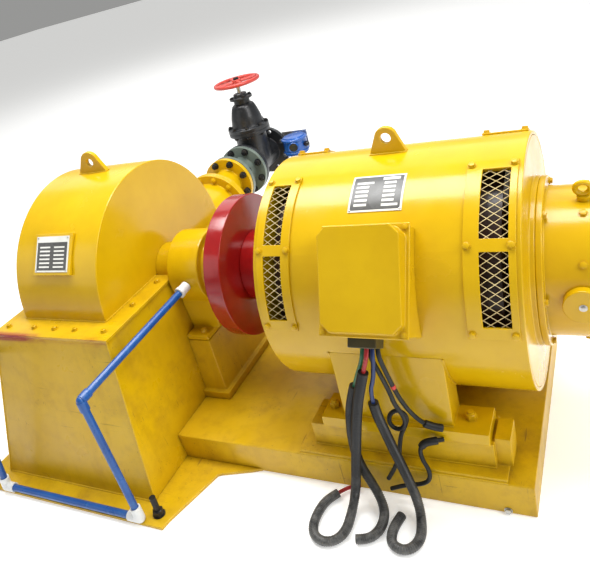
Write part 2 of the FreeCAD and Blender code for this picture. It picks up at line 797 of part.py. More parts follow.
# --- cords --------------------------------------------------------------------------------------
def cord_path(points):
    """Straight runs joined by tangent arcs, and the arcs' radii."""
    corners = [V(*p) for p in points]
    edges, radii, start = [], [], corners[0]
    for before, corner, after in zip(corners, corners[1:], corners[2:]):
        back, ahead = before - corner, after - corner
        half_turn = (math.pi - back.getAngle(ahead)) / 2
        reach = 0.45 * min(back.Length, ahead.Length)
        radius = reach / math.tan(half_turn)
        radii.append(radius)
        back.normalize()
        ahead.normalize()
        inward = (back + ahead).normalize()
        arc_start, arc_end = corner + back * reach, corner + ahead * reach
        arc_middle = corner + inward * (radius / math.cos(half_turn) - radius)
        edges.append(Part.LineSegment(start, arc_start).toShape())
        edges.append(Part.Arc(arc_start, arc_middle, arc_end).toShape())
        start = arc_end
    edges.append(Part.LineSegment(start, corners[-1]).toShape())
    return Part.Wire(edges), radii


def cord(name):
    radius, points = cords[name]
    path, radii = cord_path(points)
    section = Part.makeCircle(radius, V(*points[0]), V(*points[1]) - V(*points[0]))
    tube = path.makePipeShell([Part.Wire(section)], True, False)
    ratio = tube.Volume / (math.pi * radius ** 2 * path.Length)
    print("%s: %.0f mm long, radii %s, volume / (section x length) %.4f"
          % (name, path.Length, " ".join("%.0f" % r for r in radii), ratio))
    return tube


def build():
    os.makedirs("parts", exist_ok=True)
    save("generator_shell", generator_shell())
    save("vent_covers_front", *vent_covers())
    save("vent_covers_rear", *[rear_twin(cover) for cover in vent_covers()])
    save("stator", stator())
    save("drive_end_shield", drive_shield())
    save("exciter_end_shield", exciter_shield())
    save("front_foot", generator_foot())
    save("rear_foot", rear_twin(generator_foot()))
    save("sole_rails", sole_rail(), rear_twin(sole_rail()))
    save("lifting_lugs", *lifting_lugs())
    save("generator_nameplate", generator_nameplate())
    save("terminal_box", terminal_box())
    save("terminal_box_lid", terminal_lid())
    save("cable_spout", cable_spout())
    save("exciter_housing", exciter_housing())
    save("exciter_end_cover", exciter_end_cover())
    save("exciter_side_cap", exciter_side_cap())
    save("exciter_eye_bolt", exciter_eye_bolt())
    save("flywheel", flywheel())
    save("coupling_hub", coupling_hub())
    save("rotor_shaft", rotor_shaft())
    save("rotor", rotor())
    save("turbine_hood", turbine_hood())
    save("turbine_nameplate_pad", turbine_nameplate_pad())
    save("turbine_nameplate", turbine_nameplate())
    save("casing_flange_front", casing_flange())
    save("casing_flange_rear", rear_twin(casing_flange()))
    save("turbine_casing", turbine_casing())
    save("turbine_sole_plate", turbine_sole())
    save("anchor_bolts", *anchor_bolts())
    save("base_frame", base_frame())
    save("bearing_housings", *bearing_housings())
    save("bearing_pedestals", *bearing_pedestals())
    save("shaft_seals", shaft_seal(), outer_twin(shaft_seal()))
    save("nozzle_throat", nozzle_throat())
    save("inlet_reducer", inlet_reducer())
    save("pipe_gaskets", *pipe_gaskets())
    save("spool_piece", pipe_run(spool_start, spool_start + spool_length))
    save("gate_valve_body", gate_valve_body())
    save("gate_valve_bonnet", gate_valve_bonnet())
    save("valve_stem", valve_stem())
    save("handwheel", handwheel())
    save("converter_bracket", converter_bracket())
    save("flow_converter", flow_converter())
    save("cooling_pipe", cooling_pipe())
    save("cooling_fittings", *cooling_fittings())
    for name in cords:
        save(name, cord(name))


build()
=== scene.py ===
import math

import bmesh
import bpy
from mathutils import Matrix, Vector


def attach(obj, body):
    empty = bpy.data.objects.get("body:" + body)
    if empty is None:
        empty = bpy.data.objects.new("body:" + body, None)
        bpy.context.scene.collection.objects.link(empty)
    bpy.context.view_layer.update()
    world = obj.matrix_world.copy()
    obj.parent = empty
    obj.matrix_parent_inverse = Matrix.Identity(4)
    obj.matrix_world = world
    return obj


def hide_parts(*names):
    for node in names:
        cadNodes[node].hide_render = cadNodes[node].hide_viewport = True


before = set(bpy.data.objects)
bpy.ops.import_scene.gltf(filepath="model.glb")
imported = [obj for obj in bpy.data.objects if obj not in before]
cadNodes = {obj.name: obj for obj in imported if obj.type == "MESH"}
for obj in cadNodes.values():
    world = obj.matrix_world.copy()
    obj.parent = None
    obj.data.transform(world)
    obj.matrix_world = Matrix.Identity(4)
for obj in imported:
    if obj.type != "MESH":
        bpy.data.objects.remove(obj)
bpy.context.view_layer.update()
shaftHeight = 0.63
bpy.context.scene.view_settings.view_transform = "Standard"
print("frame loaded:", len(cadNodes), "nodes")



def inScene(name, data):
    thing = bpy.data.objects.new(name, data)
    bpy.context.scene.collection.objects.link(thing)
    return thing


# camera, light and floor
shot = {
    "place": (1.0247, -1.9071, 1.6965),
    "right": (0.8621, 0.4352, -0.2594),
    "forward": (-0.5063, 0.7636, -0.4008),
    "lens": 39.24,
    "shiftX": 0.0825,
    "shiftY": -0.0697,
}
studio = {
    # light: (place, aim, size, watts)
    "world": 0.31,
    "back": ((-4.0, 6.5, 4.5), (-4.0, 6.5, 0), (10.0, 8.0), 260),
    "key": ((4.2, -1.2, 3.4), (0, 0, 0.5), (2.4, 2.4), 128),
    "fill": ((-3.6, -3.2, 2.4), (-0.8, 0, 0.5), (2.5, 2.5), 20),
    "top": ((-0.2, 0.3, 4.0), (-0.2, 0.1, 0.5), (4.2, 1.3), 215),
}
ground = {"size": 160, "below": 0.001, "tones": ((0.94, 0.94, 0.93, 1), (0.97, 0.97, 0.96, 1)), "rough": 0.8,
          "glow": 0.34, "glowColour": (1.0, 1.0, 0.99, 1)}


def makeCamera():
    forward = Vector(shot["forward"]).normalized()
    right = Vector(shot["right"])
    right = (right - forward * right.dot(forward)).normalized()
    up = right.cross(forward)
    data = bpy.data.cameras.new("camera")
    data.lens = shot["lens"]
    data.sensor_width = 36
    data.sensor_fit = "HORIZONTAL"
    data.shift_x = shot["shiftX"]
    data.shift_y = shot["shiftY"]
    data.clip_end = 300
    camera = inScene("camera", data)
    turn = Matrix((right, up, -forward)).transposed().to_4x4()
    camera.matrix_world = Matrix.Translation(Vector(shot["place"])) @ turn
    bpy.context.scene.camera = camera


def areaLight(name, place, aim, size, power):
    data = bpy.data.lights.new(name, "AREA")
    data.shape = "RECTANGLE"
    data.size, data.size_y = size
    data.energy = power
    light = inScene(name, data)
    light.location = place
    light.rotation_euler = (Vector(aim) - Vector(place)).to_track_quat("-Z", "Y").to_euler()


def makeStudio():
    world = bpy.data.worlds.new("studio")
    world.use_nodes = True
    background = world.node_tree.nodes["Background"]
    background.inputs["Color"].default_value = (1.0, 1.0, 0.98, 1)
    background.inputs["Strength"].default_value = studio["world"]
    bpy.context.scene.world = world
    for name in ("key", "fill", "top", "back"):
        areaLight(name, *studio[name])
    bpy.ops.mesh.primitive_plane_add(size=ground["size"], location=(0, 0, -ground["below"]))
    floor = bpy.context.object
    floor.name = "floor"
    material, tree, shader = newMaterial("paleFloor")
    tone = mixColour(tree, noise(tree, 3), *ground["tones"])
    tree.links.new(tone, shader.inputs["Base Color"])
    shader.inputs["Roughness"].default_value = ground["rough"]
    shader.inputs["Emission Color"].default_value = ground["glowColour"]
    shader.inputs["Emission Strength"].default_value = ground["glow"]
    floor.data.materials.append(material)


# small tools for materials
def newMaterial(name):
    material = bpy.data.materials.new(name)
    material.use_nodes = True
    tree = material.node_tree
    return material, tree, tree.nodes["Principled BSDF"]


def addNode(tree, kind, inputs=None, **settings):
    node = tree.nodes.new(kind)
    for key, value in settings.items():
        setattr(node, key, value)
    for key, value in (inputs or {}).items():
        if isinstance(value, bpy.types.NodeSocket):
            tree.links.new(value, node.inputs[key])
        else:
            node.inputs[key].default_value = value
    return node


def axisOf(tree, letter):
    coords = addNode(tree, "ShaderNodeTexCoord").outputs["Object"]
    return addNode(tree, "ShaderNodeSeparateXYZ", {"Vector": coords}).outputs[letter]


def surfacePlace(tree, stretch=(1, 1, 1), turn=(0, 0, 0)):
    coords = addNode(tree, "ShaderNodeTexCoord")
    inputs = {"Vector": coords.outputs["Object"], "Scale": stretch, "Rotation": turn}
    return addNode(tree, "ShaderNodeMapping", inputs).outputs["Vector"]


def noise(tree, scale, detail=3, rough=0.5, stretch=(1, 1, 1), turn=(0, 0, 0)):
    place = surfacePlace(tree, stretch, turn)
    inputs = {"Vector": place, "Scale": scale, "Detail": detail, "Roughness": rough}
    return addNode(tree, "ShaderNodeTexNoise", inputs).outputs[0]


def window(tree, value, low, high, floor=0.0, ceiling=1.0):
    inputs = {"Value": value, "From Min": low, "From Max": high, "To Min": floor, "To Max": ceiling}
    return addNode(tree, "ShaderNodeMapRange", inputs).outputs["Result"]


def maths(tree, operation, first, second):
    inputs = {0: first, 1: second}
    return addNode(tree, "ShaderNodeMath", inputs, operation=operation, use_clamp=True).outputs[0]


def times(tree, first, second):
    return maths(tree, "MULTIPLY", first, second)


def mixColour(tree, factor, first, second):
    inputs = {0: factor, 6: first, 7: second}
    return addNode(tree, "ShaderNodeMix", inputs, data_type="RGBA").outputs[2]


def raiseBy(tree, shader, *layers):
    below = None
    for height, strength, distance in layers:
        inputs = {"Height": height, "Strength": strength, "Distance": distance}
        if below is not None:
            inputs["Normal"] = below
        below = addNode(tree, "ShaderNodeBump", inputs).outputs["Normal"]
    tree.links.new(below, shader.inputs["Normal"])


# finishes
enamel = {
    "light": (0.66, 0.415, 0.003, 1),
    "deep": (0.56, 0.335, 0.002, 1),
    "mottle": (0.40, 0.225, 0.002, 1),
    # dark grime colour used as painted shade in corners and seams
    "grime": (0.13, 0.075, 0.012, 1),
    "scratch": (0.16, 0.09, 0.02, 1),
    "bareSpeck": (0.06, 0.035, 0.02, 1),
    "oil": (0.32, 0.17, 0.01, 1),
    "smear": (0.30, 0.012, 0.010, 1),
    "smearBox": ((-1.15, -0.86), (0.604, 0.645)),  # along X and up Z
    "smearFace": (-0.535, -0.55),
    "specular": 0.34, "coat": 0.10, "coatRough": 0.12,
}


# warm yellow machine paint with painted shade in its corners and seams, darkened by occlusion and broken into
# grime-like patches, deeper with wear; wear also adds scratches, chips and oily stains
def yellowEnamel(name, wear=0.0, gloss=0.24, smear=False):
    material, tree, shader = newMaterial(name)
    broad = window(tree, noise(tree, 2.6, 4, 0.6), 0.3, 0.7)
    colour = mixColour(tree, broad, enamel["deep"], enamel["light"])
    mottle = window(tree, noise(tree, 16, 5, 0.65), 0.48, 0.75, 0, 0.10 + 0.5 * wear)
    colour = mixColour(tree, mottle, colour, enamel["mottle"])
    runs = window(tree, noise(tree, 9, 4, 0.6, (1.6, 1.6, 0.25)), 0.55, 0.8, 0, 0.10 + 0.55 * wear)
    colour = mixColour(tree, runs, colour, enamel["mottle"])
    # ambient occlusion darkens corners, creases and seams: painted shade, mixed in patches in a dark grime
    # colour
    edges = addNode(tree, "ShaderNodeAmbientOcclusion", {"Distance": 0.05}, samples=6).outputs["AO"]
    patch = window(tree, noise(tree, 22, 5, 0.7), 0.32, 0.72)
    grime = times(tree, window(tree, edges, 0.85, 0.25, 0, 0.30 + 0.5 * wear), patch)
    colour = mixColour(tree, grime, colour, enamel["grime"])
    rough = window(tree, noise(tree, 7, 4), 0.3, 0.7, gloss - 0.05, gloss + 0.08 + 0.16 * wear)
    layers = [(noise(tree, 4.5, 2), 0.10, 0.01), (noise(tree, 260, 2), 0.06 + 0.08 * wear, 0.0004)]
    if wear:
        marks = None
        for stretch, turn, low in (((2, 90, 90), (0, 0, 0.3), 0.68), ((80, 3, 80), (0.5, 0, 0.2), 0.695),
                                   ((70, 70, 2), (0.2, 0.5, 0), 0.685)):
            lines = window(tree, noise(tree, 1.6, 2, 0.5, stretch, turn), low, low + 0.02)
            place = window(tree, noise(tree, 5 + stretch[0] * 0.02, 3), 0.52, 0.60)
            line = times(tree, lines, place)
            marks = line if marks is None else maths(tree, "MAXIMUM", marks, line)
        specks = window(tree, noise(tree, 120, 2, 0.6), 0.715, 0.73)
        place = window(tree, noise(tree, 6, 3, 0.6), 0.5, 0.58)
        specks = times(tree, specks, place)
        stains = window(tree, noise(tree, 3.3, 6, 0.7), 0.54, 0.72, 0, 0.8 * wear)
        colour = mixColour(tree, stains, colour, enamel["oil"])
        colour = mixColour(tree, times(tree, marks, 0.8 * wear), colour, enamel["scratch"])
        colour = mixColour(tree, times(tree, specks, wear), colour, enamel["bareSpeck"])
        rough = maths(tree, "ADD", rough, times(tree, marks, 0.3))
        layers.append((marks, -0.25, 0.0006))
    if smear:
        (left, right), (low, high) = enamel["smearBox"]
        along = window(tree, axisOf(tree, "X"), left, right)
        tear = window(tree, noise(tree, 9, 6, 0.7, (1, 1, 9)), 0.3, 0.7, -0.35, 0.30)
        fade = window(tree, maths(tree, "ADD", along, tear), 1.05, 0.55)
        height = axisOf(tree, "Z")
        band = times(tree, window(tree, height, low, low + 0.012), window(tree, height, high, high - 0.004))
        front = window(tree, axisOf(tree, "Y"), *enamel["smearFace"])
        streak = window(tree, noise(tree, 14, 5, 0.7, (0.6, 1, 26)), 0.36, 0.50, 0.35, 1)
        red = times(tree, times(tree, band, front), times(tree, fade, streak))
        colour = mixColour(tree, red, colour, enamel["smear"])
    tree.links.new(colour, shader.inputs["Base Color"])
    tree.links.new(rough, shader.inputs["Roughness"])
    raiseBy(tree, shader, *layers)
    shader.inputs["Specular IOR Level"].default_value = enamel["specular"]
    shader.inputs["Coat Weight"].default_value = enamel["coat"]
    shader.inputs["Coat Roughness"].default_value = enamel["coatRough"]
    return material


# paint, plastic or cast surface in two tones, with its own grain and a dusty or worn tone in patches
def plainPaint(name, light, deep, gloss=0.3, coat=0.2, grain=300, grainDepth=0.05, metal=0.0, wornTone=None):
    material, tree, shader = newMaterial(name)
    colour = mixColour(tree, window(tree, noise(tree, 9, 4, 0.6), 0.3, 0.7), deep, light)
    if wornTone:
        patch = window(tree, noise(tree, 34, 5, 0.7), 0.54, 0.74, 0, 0.75)
        colour = mixColour(tree, patch, colour, wornTone)
    rough = window(tree, noise(tree, 26, 4), 0.3, 0.7, gloss - 0.06, gloss + 0.10)
    tree.links.new(colour, shader.inputs["Base Color"])
    tree.links.new(rough, shader.inputs["Roughness"])
    shader.inputs["Metallic"].default_value = metal
    shader.inputs["Specular IOR Level"].default_value = 0.36
    shader.inputs["Coat Weight"].default_value = coat
    shader.inputs["Coat Roughness"].default_value = 0.15
    raiseBy(tree, shader, (noise(tree, 18, 3), 0.08, 0.003), (noise(tree, grain, 3), grainDepth, 0.0006))
    return material


def turnedSteel(name, tone, gloss=0.3):
    material, tree, shader = newMaterial(name)
    rings = noise(tree, 1.4, 3, 0.6, (420, 3, 3))
    darker = tuple(0.55 * c for c in tone[:3]) + (1,)
    colour = mixColour(tree, window(tree, rings, 0.3, 0.7), darker, tone)
    tree.links.new(colour, shader.inputs["Base Color"])
    tree.links.new(window(tree, rings, 0.3, 0.7, gloss - 0.08, gloss + 0.12), shader.inputs["Roughness"])
    shader.inputs["Metallic"].default_value = 1.0
    raiseBy(tree, shader, (rings, 0.12, 0.0004))
    return material


# corrugated sleeve: soft black, dusty grey towards the floor
def ribbedBlack(name):
    material, tree, shader = newMaterial(name)
    patch = window(tree, noise(tree, 30, 5, 0.7), 0.35, 0.7)
    dust = times(tree, window(tree, axisOf(tree, "Z"), 0.16, 0.0, 0, 0.8), patch)
    blend = window(tree, noise(tree, 12, 4), 0.3, 0.7)
    colour = mixColour(tree, blend, (0.008, 0.008, 0.009, 1), (0.022, 0.023, 0.024, 1))
    colour = mixColour(tree, dust, colour, (0.20, 0.20, 0.19, 1))
    tree.links.new(colour, shader.inputs["Base Color"])
    tree.links.new(window(tree, noise(tree, 40, 4), 0.3, 0.7, 0.32, 0.5), shader.inputs["Roughness"])
    raiseBy(tree, shader, (noise(tree, 500, 2), 0.1, 0.0004))
    return material


paint = {
    "shell": yellowEnamel("glossyYellow", 0.0, 0.20),
    "worn": yellowEnamel("wornYellow", 0.75, 0.34),
    "smeared": yellowEnamel("smearedYellow", 0.6, 0.30, smear=True),
    "bolt": yellowEnamel("boltYellow", 0.25, 0.30),
    "redGloss": plainPaint("deepRedEnamel", (0.34, 0.008, 0.008, 1), (0.24, 0.005, 0.006, 1), 0.16, 0.5),
    "redSatin": plainPaint("salmonRed", (0.56, 0.062, 0.045, 1), (0.42, 0.034, 0.027, 1), 0.34, 0.15,
                           wornTone=(0.62, 0.15, 0.11, 1)),
    "castBlack": plainPaint("blackCasting", (0.020, 0.022, 0.026, 1), (0.008, 0.009, 0.010, 1), 0.34, 0.15,
                            220, 0.25, wornTone=(0.045, 0.047, 0.050, 1)),
    "greyGreen": plainPaint("greyGreenPaint", (0.16, 0.20, 0.17, 1), (0.09, 0.115, 0.10, 1), 0.36, 0.15,
                            wornTone=(0.22, 0.24, 0.21, 1)),
    "gasket": plainPaint("whiteGasket", (0.80, 0.79, 0.74, 1), (0.62, 0.61, 0.56, 1), 0.65, 0.0, 180, 0.2),
    "galvanised": plainPaint("galvanisedPlate", (0.66, 0.68, 0.69, 1), (0.46, 0.48, 0.50, 1), 0.36, 0.0,
                             90, 0.1, 1.0, (0.78, 0.79, 0.79, 1)),
    "blueGloss": plainPaint("blueHousing", (0.018, 0.12, 0.46, 1), (0.010, 0.07, 0.32, 1), 0.22, 0.4),
    "bluePipe": plainPaint("bluePlasticPipe", (0.008, 0.090, 0.34, 1), (0.005, 0.055, 0.24, 1), 0.30, 0.25,
                           wornTone=(0.025, 0.13, 0.36, 1)),
    "whiteFitting": plainPaint("whiteFitting", (0.80, 0.81, 0.80, 1), (0.62, 0.64, 0.64, 1), 0.3, 0.2,
                               wornTone=(0.50, 0.50, 0.46, 1)),
    "winding": plainPaint("varnishedWinding", (0.040, 0.014, 0.006, 1), (0.014, 0.006, 0.003, 1), 0.4, 0.2,
                          140, 0.5, wornTone=(0.075, 0.030, 0.012, 1)),
    "steel": turnedSteel("turnedSteel", (0.52, 0.52, 0.51, 1)),
    "darkBolt": plainPaint("darkBolt", (0.035, 0.036, 0.038, 1), (0.014, 0.014, 0.015, 1), 0.38, 0.0,
                           260, 0.2, 0.6, (0.09, 0.075, 0.055, 1)),
    "zincBolt": plainPaint("zincBolt", (0.62, 0.62, 0.60, 1), (0.40, 0.40, 0.39, 1), 0.28, 0.0, 260, 0.1, 1.0,
                           (0.36, 0.28, 0.16, 1)),
    "wire": plainPaint("paintedWire", (0.80, 0.66, 0.36, 1), (0.55, 0.42, 0.16, 1), 0.42, 0.0),
    "plateDark": plainPaint("darkPlateField", (0.085, 0.085, 0.08, 1), (0.050, 0.050, 0.048, 1), 0.3, 0.2),
    "plateLight": plainPaint("brightPlate", (0.80, 0.80, 0.74, 1), (0.64, 0.64, 0.58, 1), 0.32, 0.1),
    "conduit": ribbedBlack("ribbedSleeve"),
    "cable": plainPaint("blackRubber", (0.010, 0.011, 0.011, 1), (0.005, 0.006, 0.006, 1), 0.46, 0.0,
                        400, 0.1, wornTone=(0.022, 0.023, 0.022, 1)),
    "leadGreen": plainPaint("greenInsulation", (0.012, 0.16, 0.070, 1), (0.006, 0.10, 0.040, 1), 0.3, 0.2),
    "leadRed": plainPaint("redInsulation", (0.42, 0.012, 0.014, 1), (0.28, 0.007, 0.009, 1), 0.3, 0.2),
    "leadBlue": plainPaint("blueInsulation", (0.008, 0.030, 0.14, 1), (0.005, 0.018, 0.08, 1), 0.3, 0.2),
    "tape": plainPaint("redTape", (0.66, 0.040, 0.035, 1), (0.48, 0.020, 0.020, 1), 0.28, 0.2),
    "spoutDark": plainPaint("darkSpout", (0.060, 0.050, 0.014, 1), (0.030, 0.026, 0.010, 1), 0.4, 0.1),
    "blackGloss": plainPaint("blackPlastic", (0.012, 0.012, 0.014, 1), (0.006, 0.006, 0.007, 1), 0.22, 0.2),
    "glass": plainPaint("displayPane", (0.020, 0.030, 0.035, 1), (0.010, 0.014, 0.018, 1), 0.08, 0.6),
}
print("finishes ready:", len(paint))

makeCamera()
makeStudio()
print("camera and studio ready")


# making, naming and riding a piece
def evaluated(name, scratch):
    mesh = bpy.data.meshes.new_from_object(scratch.evaluated_get(bpy.context.evaluated_depsgraph_get()))
    mesh.name = name
    return mesh


def meshOf(name, vertices, edges, faces):
    mesh = bpy.data.meshes.new(name)
    mesh.from_pydata(vertices, edges, faces)
    return mesh


def keepPiece(name, mesh, material, slot, body="root", replaced=(), sharp=35):
    if material is not None:
        mesh.materials.clear()
        mesh.materials.append(material)
    if sharp:
        mesh.polygons.foreach_set("use_smooth", [True] * len(mesh.polygons))
        mesh.set_sharp_from_angle(angle=math.radians(sharp))
    piece = inScene(name, mesh)
    if replaced:
        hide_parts(*replaced)
    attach(piece, body)
    return piece


# the mesh after the modifiers, each a (kind, settings) pair, as a plain mesh
def applied(name, mesh, *modifiers):
    scratch = inScene(name, mesh)
    for kind, settings in modifiers:
        modifier = scratch.modifiers.new(kind.lower(), kind)
        for key, value in settings.items():
            setattr(modifier, key, value)
    result = evaluated(name, scratch)
    bpy.data.objects.remove(scratch)
    return result


# cords
cordRoutes = {
    "leadGreen": {"node": "lead_green", "diameter": 0.013, "length": 0.150, "end": "object", "points": [
        (0.372, -0.490, 0.6235), (0.371, -0.500, 0.609), (0.361, -0.500, 0.575), (0.3403, -0.4974, 0.5325),
        (0.322, -0.496, 0.486)]},
    "conduitGreen": {"node": "conduit_green", "diameter": 0.032, "length": 0.677, "end": "bare", "points": [
        (0.322, -0.496, 0.486), (0.296, -0.494, 0.420), (0.276, -0.488, 0.340), (0.263, -0.482, 0.250),
        (0.262, -0.479, 0.176), (0.274, -0.480, 0.122), (0.296, -0.486, 0.076), (0.320, -0.502, 0.038),
        (0.342, -0.534, 0.018), (0.351, -0.576, 0.016), (0.346, -0.620, 0.016), (0.322, -0.654, 0.016),
        (0.286, -0.662, 0.016)]},
    "leadRed": {"node": "lead_red", "diameter": 0.013, "length": 0.080, "end": "object", "points": [
        (0.390, -0.504, 0.6335), (0.390, -0.514, 0.619), (0.386, -0.518, 0.602), (0.3791, -0.5185, 0.5825),
        (0.371, -0.520, 0.560)]},
    "conduitRed": {"node": "conduit_red", "diameter": 0.032, "length": 0.970, "end": "object", "points": [
        (0.371, -0.520, 0.560), (0.344, -0.525, 0.485), (0.316, -0.524, 0.380), (0.292, -0.520, 0.272),
        (0.270, -0.517, 0.170), (0.258, -0.515, 0.112), (0.248, -0.519, 0.066), (0.242, -0.539, 0.030),
        (0.242, -0.580, 0.016), (0.246, -0.636, 0.016), (0.229, -0.680, 0.016), (0.188, -0.698, 0.016),
        (0.148, -0.680, 0.016), (0.131, -0.638, 0.016), (0.131, -0.584, 0.016), (0.142, -0.534, 0.016),
        (0.170, -0.500, 0.016)]},
    "leadRedTail": {"node": "lead_red_tail", "diameter": 0.013, "length": 0.083, "end": "bare", "points": [
        (0.170, -0.500, 0.016), (0.192, -0.4733, 0.016), (0.214, -0.464, 0.018), (0.238, -0.461, 0.024)]},
    "leadBlue": {"node": "lead_blue", "diameter": 0.013, "length": 0.195, "end": "object", "points": [
        (0.401, -0.489, 0.622), (0.401, -0.499, 0.6075), (0.399, -0.503, 0.576), (0.390, -0.505, 0.526),
        (0.372, -0.506, 0.478), (0.372, -0.502, 0.434)]},
    "conduitBlue": {"node": "conduit_blue", "diameter": 0.032, "length": 0.723, "end": "bare", "points": [
        (0.372, -0.502, 0.434), (0.372, -0.498, 0.390), (0.384, -0.496, 0.328), (0.398, -0.496, 0.260),
        (0.414, -0.497, 0.194), (0.430, -0.500, 0.130), (0.445, -0.508, 0.078), (0.458, -0.528, 0.038),
        (0.469, -0.566, 0.018), (0.476, -0.612, 0.016), (0.462, -0.652, 0.016), (0.430, -0.667, 0.016),
        (0.397, -0.653, 0.016), (0.387, -0.620, 0.016), (0.389, -0.580, 0.016), (0.400, -0.540, 0.016)]},
    "cableThin1": {"node": "cable_thin_1", "diameter": 0.014, "length": 0.397, "end": "bare", "points": [
        (0.413, -0.480, 0.6165), (0.414, -0.490, 0.602), (0.419, -0.486, 0.562), (0.424, -0.467, 0.490),
        (0.432, -0.450, 0.420), (0.450, -0.436, 0.356), (0.478, -0.428, 0.310), (0.508, -0.420, 0.288),
        (0.538, -0.411, 0.278)]},
    "cableThin2": {"node": "cable_thin_2", "diameter": 0.014, "length": 0.740, "end": "bare", "points": [
        (0.388, -0.479, 0.6155), (0.388, -0.489, 0.601), (0.396, -0.486, 0.562), (0.407, -0.474, 0.498),
        (0.414, -0.464, 0.444), (0.420, -0.462, 0.398), (0.438, -0.460, 0.362), (0.442, -0.458, 0.326),
        (0.424, -0.458, 0.298), (0.398, -0.456, 0.298), (0.386, -0.454, 0.322), (0.394, -0.448, 0.350),
        (0.420, -0.444, 0.364), (0.444, -0.440, 0.338), (0.432, -0.440, 0.300), (0.412, -0.444, 0.262),
        (0.404, -0.452, 0.222), (0.396, -0.458, 0.176), (0.374, -0.464, 0.130), (0.348, -0.466, 0.086)]},
    "cableThin3": {"node": "cable_thin_3", "diameter": 0.014, "length": 0.344, "end": "bare", "points": [
        (0.534, -0.4143, 0.236), (0.504, -0.432, 0.240), (0.478, -0.438, 0.234), (0.462, -0.444, 0.208),
        (0.468, -0.450, 0.172), (0.486, -0.456, 0.138), (0.484, -0.464, 0.106), (0.460, -0.468, 0.088),
        (0.420, -0.470, 0.078), (0.386, -0.471, 0.066), (0.352, -0.470, 0.046)]},
}
cordPaint = {
    "leadGreen": "leadGreen", "leadRed": "leadRed", "leadRedTail": "leadRed", "leadBlue": "leadBlue",
    "cableThin1": "cable", "cableThin2": "cable", "cableThin3": "cable",
}
ribbing = {"pitch": 0.0062, "depth": 0.0021, "sides": 28, "stepsPerRib": 6}


# one open NURBS spline through the route
def routeCurve(name, radius):
    points = cordRoutes[name]["points"]
    data = bpy.data.curves.new(name, "CURVE")
    data.dimensions = "3D"
    data.resolution_u = 12
    data.bevel_depth = radius
    data.bevel_resolution = 6
    data.use_fill_caps = True
    spline = data.splines.new("NURBS")
    spline.points.add(len(points) - 1)
    for point, place in zip(spline.points, points):
        point.co = (*place, 1)
    spline.order_u = 3
    spline.use_endpoint_u = True
    return data


# points along the route's own spline
def routeLine(name):
    scratch = inScene("scratchLine", routeCurve(name, 0))
    line = [v.co.copy() for v in evaluated("scratchLine", scratch).vertices]
    bpy.data.objects.remove(scratch)
    return line


def measured(line):
    return sum((b - a).length for a, b in zip(line, line[1:]))


# tube along a line whose radius follows the distance along it
def tubeMesh(name, line, radiusAt, sides, step):
    total, rings, vertices, faces = measured(line), [], [], []
    count = max(4, round(total / step))
    marks = [0]
    for a, b in zip(line, line[1:]):
        marks.append(marks[-1] + (b - a).length)
    segment, side = 0, None
    for i in range(count + 1):
        s = total * i / count
        while segment < len(line) - 2 and marks[segment + 1] < s:
            segment += 1
        run = marks[segment + 1] - marks[segment]
        t = (s - marks[segment]) / run
        centre = line[segment].lerp(line[segment + 1], t)
        before = line[max(0, segment - 1)]
        after = line[min(len(line) - 1, segment + 2)]
        heading = ((line[segment + 1] - line[segment]).normalized()
                   + (after - line[segment + 1]).normalized() * t * 0.5
                   + (line[segment] - before).normalized() * (1 - t) * 0.5).normalized()
        if side is None:
            side = heading.orthogonal().normalized()
        side = (side - heading * side.dot(heading)).normalized()
        other = heading.cross(side)
        radius = radiusAt(s, total)
        for k in range(sides):
            turn = 2 * math.pi * k / sides
            vertices.append(centre + side * (radius * math.cos(turn)) + other * (radius * math.sin(turn)))
    for i in range(count):
        for k in range(sides):
            n = (k + 1) % sides
            faces.append((i * sides + k, i * sides + n, (i + 1) * sides + n, (i + 1) * sides + k))
    faces.append(tuple(reversed(range(sides))))
    faces.append(tuple(range(count * sides, (count + 1) * sides)))
    return meshOf(name, vertices, [], faces)


cordPieces = {
    # cord: (piece, from and to in metres along it, radius, finish)
    "cableThin1": (("cableThin1Cap", 0.335, 0.396, 0.0122, "cable"),
                   ("cableThin1Tape", 0.148, 0.164, 0.0079, "tape")),
    "cableThin3": (("cableThin3Sleeve", 0.018, 0.078, 0.0122, "cable"),),
}


# the stretch of a line between two distances along it
def partOf(line, low, high):
    marks = [0]
    for a, b in zip(line, line[1:]):
        marks.append(marks[-1] + (b - a).length)

    def at(s):
        for i, mark in enumerate(marks[1:]):
            if mark >= s or i == len(line) - 2:
                return line[i].lerp(line[i + 1], min(1, (s - marks[i]) / (mark - marks[i])))
    inner = [p for p, mark in zip(line, marks) if low + 0.002 < mark < high - 0.002]
    return [at(low)] + inner + [at(min(high, marks[-1]))]


def roundedEnds(radius, edge):
    def radiusAt(s, total):
        near = min(s, total - s)
        return radius if near >= edge else radius * (0.62 + 0.38 * math.sqrt(1 - (1 - near / edge) ** 2))
    return radiusAt


def ribbedRadius(radius):
    wave = 2 * math.pi / ribbing["pitch"]
    return lambda s, total: radius - ribbing["depth"] * (0.5 - 0.5 * math.cos(wave * s))


def makeCords():
    lines = {}
    for name, route in cordRoutes.items():
        line = lines[name] = routeLine(name)
        radius = route["diameter"] / 2
        exitPlace = route["points"][0]
        if name in cordPaint:
            data = routeCurve(name, radius)
            data.materials.append(paint[cordPaint[name]])
            piece = inScene(name, data)
            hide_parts(route["node"])
            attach(piece, "root")
            for title, low, high, thick, finish in cordPieces.get(name, ()):
                mesh = tubeMesh(title, partOf(line, low, high), roundedEnds(thick, 0.3 * thick), 24, 0.0012)
                keepPiece(title, mesh, paint[finish], "cable", sharp=60)
            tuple(exitPlace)
            continue
        step = ribbing["pitch"] / ribbing["stepsPerRib"]
        mesh = tubeMesh(name, line, ribbedRadius(radius), ribbing["sides"], step)
        piece = keepPiece(name, mesh, paint["conduit"], "cable", replaced=(route["node"],), sharp=60)
        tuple(exitPlace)
        [tuple(p) for p in line]
    return lines


